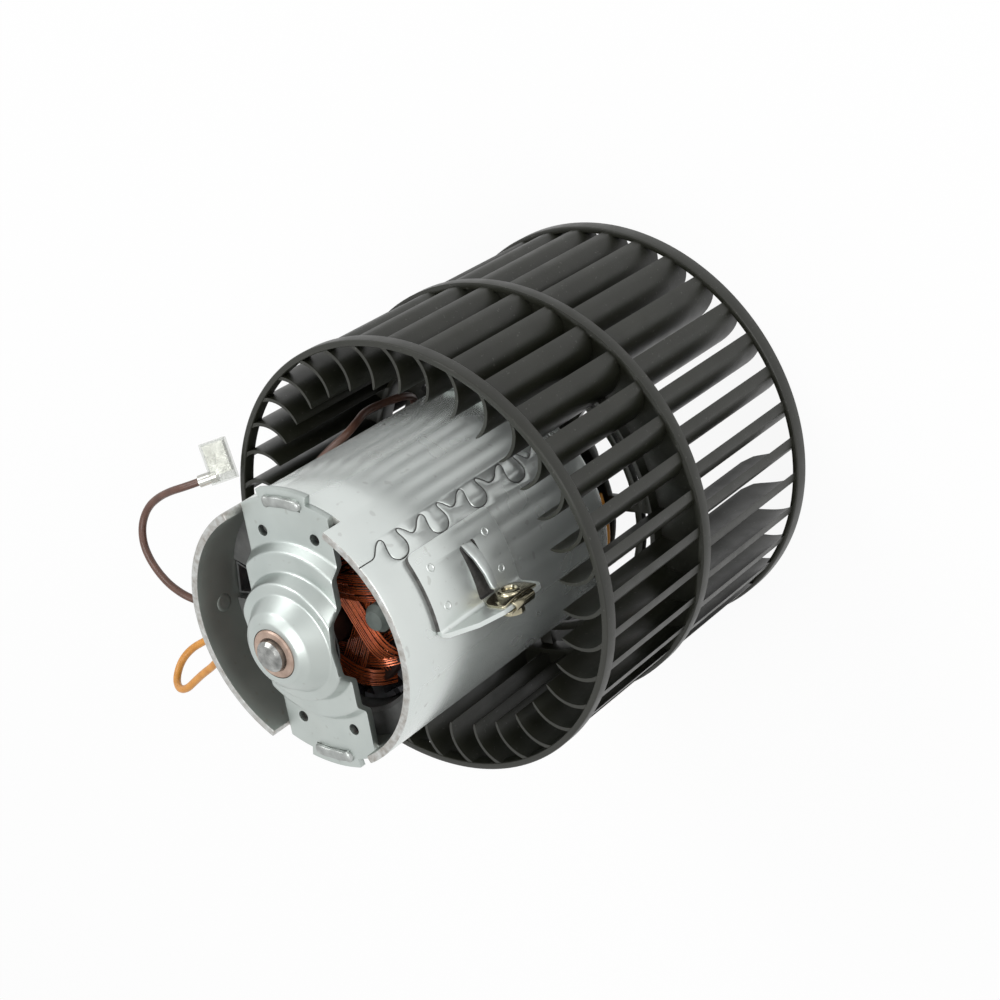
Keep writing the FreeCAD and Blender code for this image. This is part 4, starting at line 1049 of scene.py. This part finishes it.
def coilTree():
    # Wires laid side by side in bundles, one bundle for each coil.
    s = coilSet
    kinds = {
        "Core": "Geometry",
        "Wire": "Object",
        "Strip": "Object",
        "Coils": "Int",
        "Wires": "Int",
        "Seat": "Float",
        "Way": "Float",
        "Seed": "Int",
        "Finish": "Material",
        "Bed": "Material",
    }
    tree, sockets, inputs = nodeTree("coilEnds", kinds)

    def sums(operation, *values):
        return maths(tree, operation, *values)

    def scatter(low, high, extra):
        links = {2: low, 3: high, "Seed": sums("ADD", inputs["Seed"], float(extra))}
        return addNode(tree, "FunctionNodeRandomValue", links, data_type="FLOAT").outputs[1]

    index = addNode(tree, "GeometryNodeInputIndex").outputs[0]
    share = sums("DIVIDE", index, inputs["Wires"])
    coil = sums("FLOOR", share)
    within = sums("FRACT", share)
    pitch = sums("DIVIDE", 2 * math.pi, inputs["Coils"])
    turn = sums("MULTIPLY_ADD", coil, pitch, scatter(-s["sway"], s["sway"], 1))
    turn = sums("MULTIPLY_ADD", within, s["twist"], turn)
    width, loose = s["width"]
    wide = sums("ADD", width, scatter(-loose, loose, 2))
    height, loose = s["height"]
    tall = sums("ADD", height, scatter(-loose, loose, 3))
    stride, count, tier = s["tiers"]
    tier = sums("MULTIPLY", sums("MODULO", sums("MULTIPLY", coil, stride), count), tier)
    sink = sums("MULTIPLY", tier, inputs["Way"])
    step = s["pitch"] * mm
    aside = sums("MULTIPLY", within, sums("MULTIPLY", inputs["Wires"], step))
    aside = sums("ADD", aside, scatter(s["aside"][0] * step, s["aside"][1] * step, 4))
    place = combined(
        tree,
        X=sums("MULTIPLY", sums("COSINE", turn), aside),
        Y=sums("MULTIPLY", sums("SINE", turn), aside),
        Z=sums("SUBTRACT", inputs["Seat"], sink),
    )
    spots = pointsOf(tree, sums("MULTIPLY", inputs["Coils"], inputs["Wires"]))
    placed = addNode(tree, "GeometryNodeSetPosition", {"Geometry": spots, "Position": place})
    links = {
        "Points": placed.outputs[0],
        "Rotation": combined(tree, Z=turn),
        "Scale": combined(tree, X=wide, Y=wide, Z=tall),
    }
    # Core and strips take the Bed finish: dark varnish, and painted shade in the gaps between and
    # under the wires.
    whole = joined(
        tree,
        dressed(tree, copiesOf(tree, inputs["Wire"], links), inputs["Finish"]),
        dressed(tree, inputs["Core"], inputs["Bed"]),
        dressed(tree, copiesOf(tree, inputs["Strip"], links), inputs["Bed"]),
    )
    tree.links.new(whole, addNode(tree, "NodeGroupOutput").inputs[0])
    return tree, sockets


def makeCoils():
    s = coilSet
    tree, sockets = coilTree()
    inner, near, outer, far, corner = s["core"]
    for name, (seat, way, wires) in s["ends"].items():
        wire, strip = wireTemplate(name + "Wire", way), stripTemplate(name + "Strip", way)
        low, high = sorted((seat + way * near, seat + way * far))
        # The core ring under the wires takes the dark Bed finish: painted shade below them.
        core = latheProfile(name, roundedBox(inner, low, outer, high, corner), 72)
        values = {
            "Wire": wire,
            "Strip": strip,
            "Coils": s["coils"],
            "Wires": wires,
            "Seat": seat * mm,
            "Way": float(way),
            "Seed": s["seed"],
            "Finish": finishes["copper"],
            "Bed": finishes["coil_bed"],
        }
        grow(core, tree, sockets, values)
        settled(core, wire, strip)
        finishPiece(core, "rotor", "copper", None)
    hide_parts("armature_winding")


makeCoils()
print("coil ends wound")


# The wheel's web: the frame's own shape with its edges broken

webSet = {"flatness": 0.6, "edge": 0.3, "bevelFrom": 40, "sharp": 38}


def makeWeb():
    s = webSet
    shape = bmesh.new()
    shape.from_mesh(nodes["wheel_web"].data)
    bmesh.ops.remove_doubles(shape, verts=shape.verts, dist=mergeGap)
    flat = math.radians(s["flatness"])
    bmesh.ops.dissolve_limit(shape, angle_limit=flat, verts=shape.verts[:], edges=shape.edges[:])
    web = meshFrom("wheelWeb", shape)
    settled(bevelled(web, s["edge"], angle=s["bevelFrom"]))
    smoothed(web, s["sharp"])
    finishPiece(web, "rotor", "black_plastic", finishes["black_plastic"], "wheel_web")


makeWeb()
print("wheel web softened")


# Welded brackets with their hook, weld marks and spring nut

bracketSet = {
    "inner": 43.8, "wall": 1.5, "turn": -70.5, "half": 12.82, "foot": 121.4, "top": 159.4,
    "corner": 2.6, "flange": 8.7, "flat": 19.6, "bend": 1.6, "slot": (-11.3, 133, 6.7, 140.1),
    "slotBend": 46, "cutter": (42.9, 5), "slotShade": (43.82, 0.12), "edge": 0.5,
    "grimeAndShade": 0.85,
}
hookSet = {
    "skin": [(-1.9, 9.0, 0), (-1.2, 6.2, 2), (1.2, 1.5, 4), (2.2, -4, 6), (2.0, -10, 0)],
    "wall": 1.1, "edge": 0.35, "ridge": 0.5, "ridgeHeight": 135.7, "ridgeHalf": 2.4,
}
weldSet = {
    "angle": 7.8, "heights": (127.4, 153.4), "steps": 28,
    "profile": [(0.35, -0.05), (0.75, -0.06), (0.95, 0.1), (1.15, 0.16), (1.4, 0.1), (1.6, -0.3)],
    "back": -0.6,
}


def sheetPiece(name, outline, cuts, place, wall):
    # A flat outline cut into strips, bent by place() and given its wall.
    shape = bmesh.new()
    shape.faces.new([shape.verts.new((point.x, point.y, 0)) for point in outline])
    for cut in cuts:
        bmesh.ops.bisect_plane(
            shape,
            geom=shape.verts[:] + shape.edges[:] + shape.faces[:],
            plane_co=(cut, 0, 0),
            plane_no=(1, 0, 0),
        )
    flat = {vert: (vert.co.x, vert.co.y) for vert in shape.verts}
    top = shape.faces[:]
    pairs = {}
    for vert, (u, v) in flat.items():
        vert.co = place(u, v, wall) * mm
        pairs[vert] = shape.verts.new(place(u, v, 0) * mm)
    borders = [edge for edge in shape.edges if edge.is_boundary]
    for face in top:
        shape.faces.new([pairs[vert] for vert in reversed(face.verts[:])])
    addWall(shape, borders, pairs)
    return meshFrom(name, shape)


def bracketPlace(u, v, lift):
    # From the flat sheet to the bracket: round the can, then out along the flange.
    s = bracketSet
    base = s["inner"] + s["wall"]
    start = s["bend"] - s["half"]
    if u >= start:
        return polar(s["inner"] + lift, u / base, v)
    outward = polar(1, start / base)
    along = Vector((outward.y, -outward.x, 0))
    travelled = min((start - u) / s["bend"], math.pi / 2)
    radius = s["bend"] + s["wall"] - lift
    bent = along * radius * math.sin(travelled) - outward * radius * math.cos(travelled)
    extra = max(start - u - s["bend"] * math.pi / 2, 0)
    return outward * (base + s["bend"] + extra) + bent + Vector((0, 0, v))


def slotSheet(name, radius, wall):
    # A bent sheet in the outline of the bracket's slot.
    left, low, right, high = bracketSet["slot"]
    corners = [(right, low, 1), (right, high, 1.6), (left, high, 1.6), (left, low, 1)]

    def place(u, v, lift):
        return polar(radius + lift, u / bracketSet["slotBend"], v)

    return sheetPiece(name, roundedOutline(corners), spread(left, right, 8), place, wall)


def joinPieces(name, pieces):
    # Several pieces as one mesh with all their materials.
    shape = bmesh.new()
    materials = []
    for piece in pieces:
        own = piece.data.materials
        materials += [material for material in own if material not in materials]
        before = len(shape.faces)
        shape.from_mesh(piece.data)
        shape.faces.ensure_lookup_table()
        for face in shape.faces[before:]:
            face.material_index = materials.index(own[face.material_index])
    whole = meshFrom(name, shape)
    for piece in pieces:
        bpy.data.objects.remove(piece)
    for material in materials:
        whole.data.materials.append(material)
    return whole


def makeWeldRing(angle, height):
    s = weldSet
    steps, profile = s["steps"], s["profile"]
    base = bracketSet["inner"] + bracketSet["wall"]
    outward, side = polar(1, angle), polar(1, angle + math.pi / 2)
    points = []
    for radius, lift in profile:
        for turn in [polar(radius, angle) for angle in spread(0, 2 * math.pi, steps)]:
            points.append(outward * (base + lift) + side * turn.x + Vector((0, 0, height + turn.y)))
    faces = bands(len(profile), steps)
    for first, lift in ((0, profile[0][1]), (steps * (len(profile) - 1), s["back"])):
        for step in range(steps):
            faces.append((len(points), first + step, first + (step + 1) % steps))
        points.append(outward * (base + lift) + Vector((0, 0, height)))
    return tidyNormals(meshPiece("weld", points, faces), 60)


def makePlate(name):
    s = bracketSet
    half, reach = s["half"], s["half"] + s["flange"]
    corners = [
        (half, s["foot"], s["corner"]),
        (half, s["top"], s["corner"]),
        (-half + 0.4, s["top"], 1.6),
        (-half - 6.2, s["top"] - 9.4, 3),
        (-reach, s["foot"] + s["flat"], 3),
        (-reach, s["foot"], 3),
    ]
    bendEnd = s["bend"] - half
    bendStart = bendEnd - s["bend"] * math.pi / 2
    cuts = spread(bendEnd, half, 22) + spread(bendStart, bendEnd, 6)
    plate = sheetPiece(name, roundedOutline(corners), cuts, bracketPlace, s["wall"])
    tidyNormals(plate, 50)
    slot = slotSheet("slot", *s["cutter"])
    cutBy(plate, slot)
    settled(bevelled(plate, s["edge"], segments=3), slot)
    clothe(plate, finishes["bracket_zinc"], finishes["seam_shadow"])
    # Edge walls near the can take the dark seam_shadow finish: partly the sheared edge and grime,
    # partly painted shade in the crevice under the plate.
    for face in plate.data.polygons:
        x, y = face.center.xy / mm
        away = math.hypot(x, y)
        lean = (face.normal.x * x + face.normal.y * y) / away
        if away < s["inner"] + s["grimeAndShade"] and lean < 0.05:
            face.material_index = 1
    return plate


def makeHook(name):
    s = hookSet
    outer = bracketSet["inner"] + bracketSet["wall"]
    skin = softLine([(outer + x, y, radius) for x, y, radius in s["skin"]], 4)
    lengths = [0]
    for before, here in zip(skin, skin[1:]):
        lengths.append(lengths[-1] + (here - before).length)

    def place(u, v, lift):
        index = 0
        while index < len(lengths) - 2 and u > lengths[index + 1]:
            index += 1
        start, end = skin[index], skin[index + 1]
        share = (u - lengths[index]) / (lengths[index + 1] - lengths[index])
        along = (end - start).normalized()
        outward = Vector((-along.y, along.x)) * math.copysign(1, -along.y)
        spot = start.lerp(end, share) + outward * (lift - s["wall"])
        ridge = 0
        if lift > 0:
            ridge = s["ridge"] * max(0, 1 - abs(v - s["ridgeHeight"]) / s["ridgeHalf"])
        return Vector((spot.x + ridge, spot.y, v))

    total = lengths[-1]
    corners = [(0, 133.2, 0), (total - 1, 134.0, 1.2), (total, 136.6, 1.2), (0, 138.2, 0)]
    hook = sheetPiece(name, roundedOutline(corners), lengths[1:-1], place, s["wall"])
    return settled(bevelled(hook, s["edge"]))


def turnedPiece(name, pieces, turned, sharp):
    # Pieces made at the bracket's own place, joined and turned to where it is.
    piece = joinPieces(name, pieces)
    angle = math.radians(bracketSet["turn"] + turned)
    piece.data.transform(Matrix.Rotation(angle, 4, "Z"))
    smoothed(piece, sharp)
    return piece


def makeBracket(letter, turned):
    # A thin dark sheet in the slot's outline, just above the can: painted shade for the pocket
    # under the tongue.
    floor = slotSheet("floor", *bracketSet["slotShade"])
    clothe(floor, finishes["seam_shadow"])
    plate, hook = makePlate("plate"), makeHook("hook")
    angle = math.radians(weldSet["angle"])
    spots = [(side * angle, height) for side in (-1, 1) for height in weldSet["heights"]]
    rings = [makeWeldRing(*spot) for spot in spots]
    for piece in [hook] + rings:
        clothe(piece, finishes["bracket_zinc"])
    bracket = turnedPiece("bracket" + letter, [plate, hook, floor] + rings, turned, 30)
    finishPiece(bracket, "motor", "zinc", None, "bracket_" + letter.lower())


makeBracket("A", 0)
makeBracket("B", 180)
print("brackets bent and welded")


nutSet = {
    "turn": -16.3, "centre": (50.0, 131.9), "length": 8.3, "width": 4.2, "lowerLength": 6.4,
    "lowerBow": 0.5, "wall": 0.85, "bow": 0.9, "gap": 0.08, "flange": 1.5, "thread": 2.1,
    "barrel": 3.7, "round": 0.7, "upperRise": (0.4, 2.6), "lowerRise": (-4.9, -1.7),
    "fold": (5, 4), "foldGap": 0.1, "steps": 40, "edge": 0.22,
}


def nutFrame(x, y, z):
    # A point of the flange's frame: outward, off its upper face, up.
    turned = math.radians(nutSet["turn"])
    away, height = nutSet["centre"]
    flat = polar(away + x, turned) + polar(y, turned + math.pi / 2)
    return flat + Vector((0, 0, height + z))


def nutSheet(name, corners, cuts, place):
    sheet = sheetPiece(name, roundedOutline(corners, 6), cuts, place, nutSet["wall"])
    return settled(bevelled(sheet, nutSet["edge"]))


def nutLeaf(name, length, side):
    s = nutSet
    wide, low, high = s["width"], s["width"] - 0.6, 1.2
    corners = [(-length, -wide, low), (length, -wide, low)]
    corners += [(length, wide, high), (-length, wide, high)]
    base = s["gap"] if side > 0 else -s["flange"] - s["gap"]

    def place(u, v, lift):
        share = (u / length) ** 2
        bow = s["bow"] * (1 - share) if side > 0 else s["lowerBow"] * share
        return nutFrame(v, base + side * (lift + bow), u)

    return nutSheet(name, corners, spread(-length, length, 12)[1:], place)


def nutFold(name):
    s = nutSet
    radius = s["flange"] / 2 + s["foldGap"]
    length = radius * math.pi
    first, last = s["fold"]
    corners = [(0, -first, 0), (length, -last, 0), (length, last, 0), (0, first, 0)]

    def place(u, v, lift):
        turn = polar(radius + lift, u / radius)
        return nutFrame(s["width"] + s["foldGap"] + turn.y, turn.x - s["flange"] / 2, v)

    return nutSheet(name, corners, spread(0, length, 8)[1:], place)


def nutBarrel(name, low, high):
    s = nutSet
    inner, outer, round = s["thread"], s["barrel"], s["round"]
    profile = [(inner, low), (outer, low), (outer, high - round), (outer - 0.25, high - 0.25)]
    profile += [(outer - round, high), (inner + 0.5, high), (inner, high - 0.5)]
    sections = []
    for angle in spread(0, 2 * math.pi, s["steps"]):
        turns = [(polar(radius, angle), rise) for radius, rise in profile]
        sections.append([nutFrame(turn.x, rise, turn.y) for turn, rise in turns])
    return skinned(name, [sections], 35, ring=True)


def makeNut(letter, turned):
    s = nutSet
    pieces = [
        nutLeaf("upperLeaf", s["length"], 1),
        nutLeaf("lowerLeaf", s["lowerLength"], -1),
        nutFold("fold"),
        nutBarrel("upperBarrel", *s["upperRise"]),
        nutBarrel("lowerBarrel", *s["lowerRise"]),
    ]
    for piece in pieces:
        clothe(piece, finishes["passivated_steel"])
    nut = turnedPiece("springNut" + letter, pieces, turned, 32)
    finishPiece(nut, "motor", "passivated_steel", None, "clip_nut_" + letter.lower())


makeNut("A", 0)
makeNut("B", 180)
print("spring nuts clipped on")
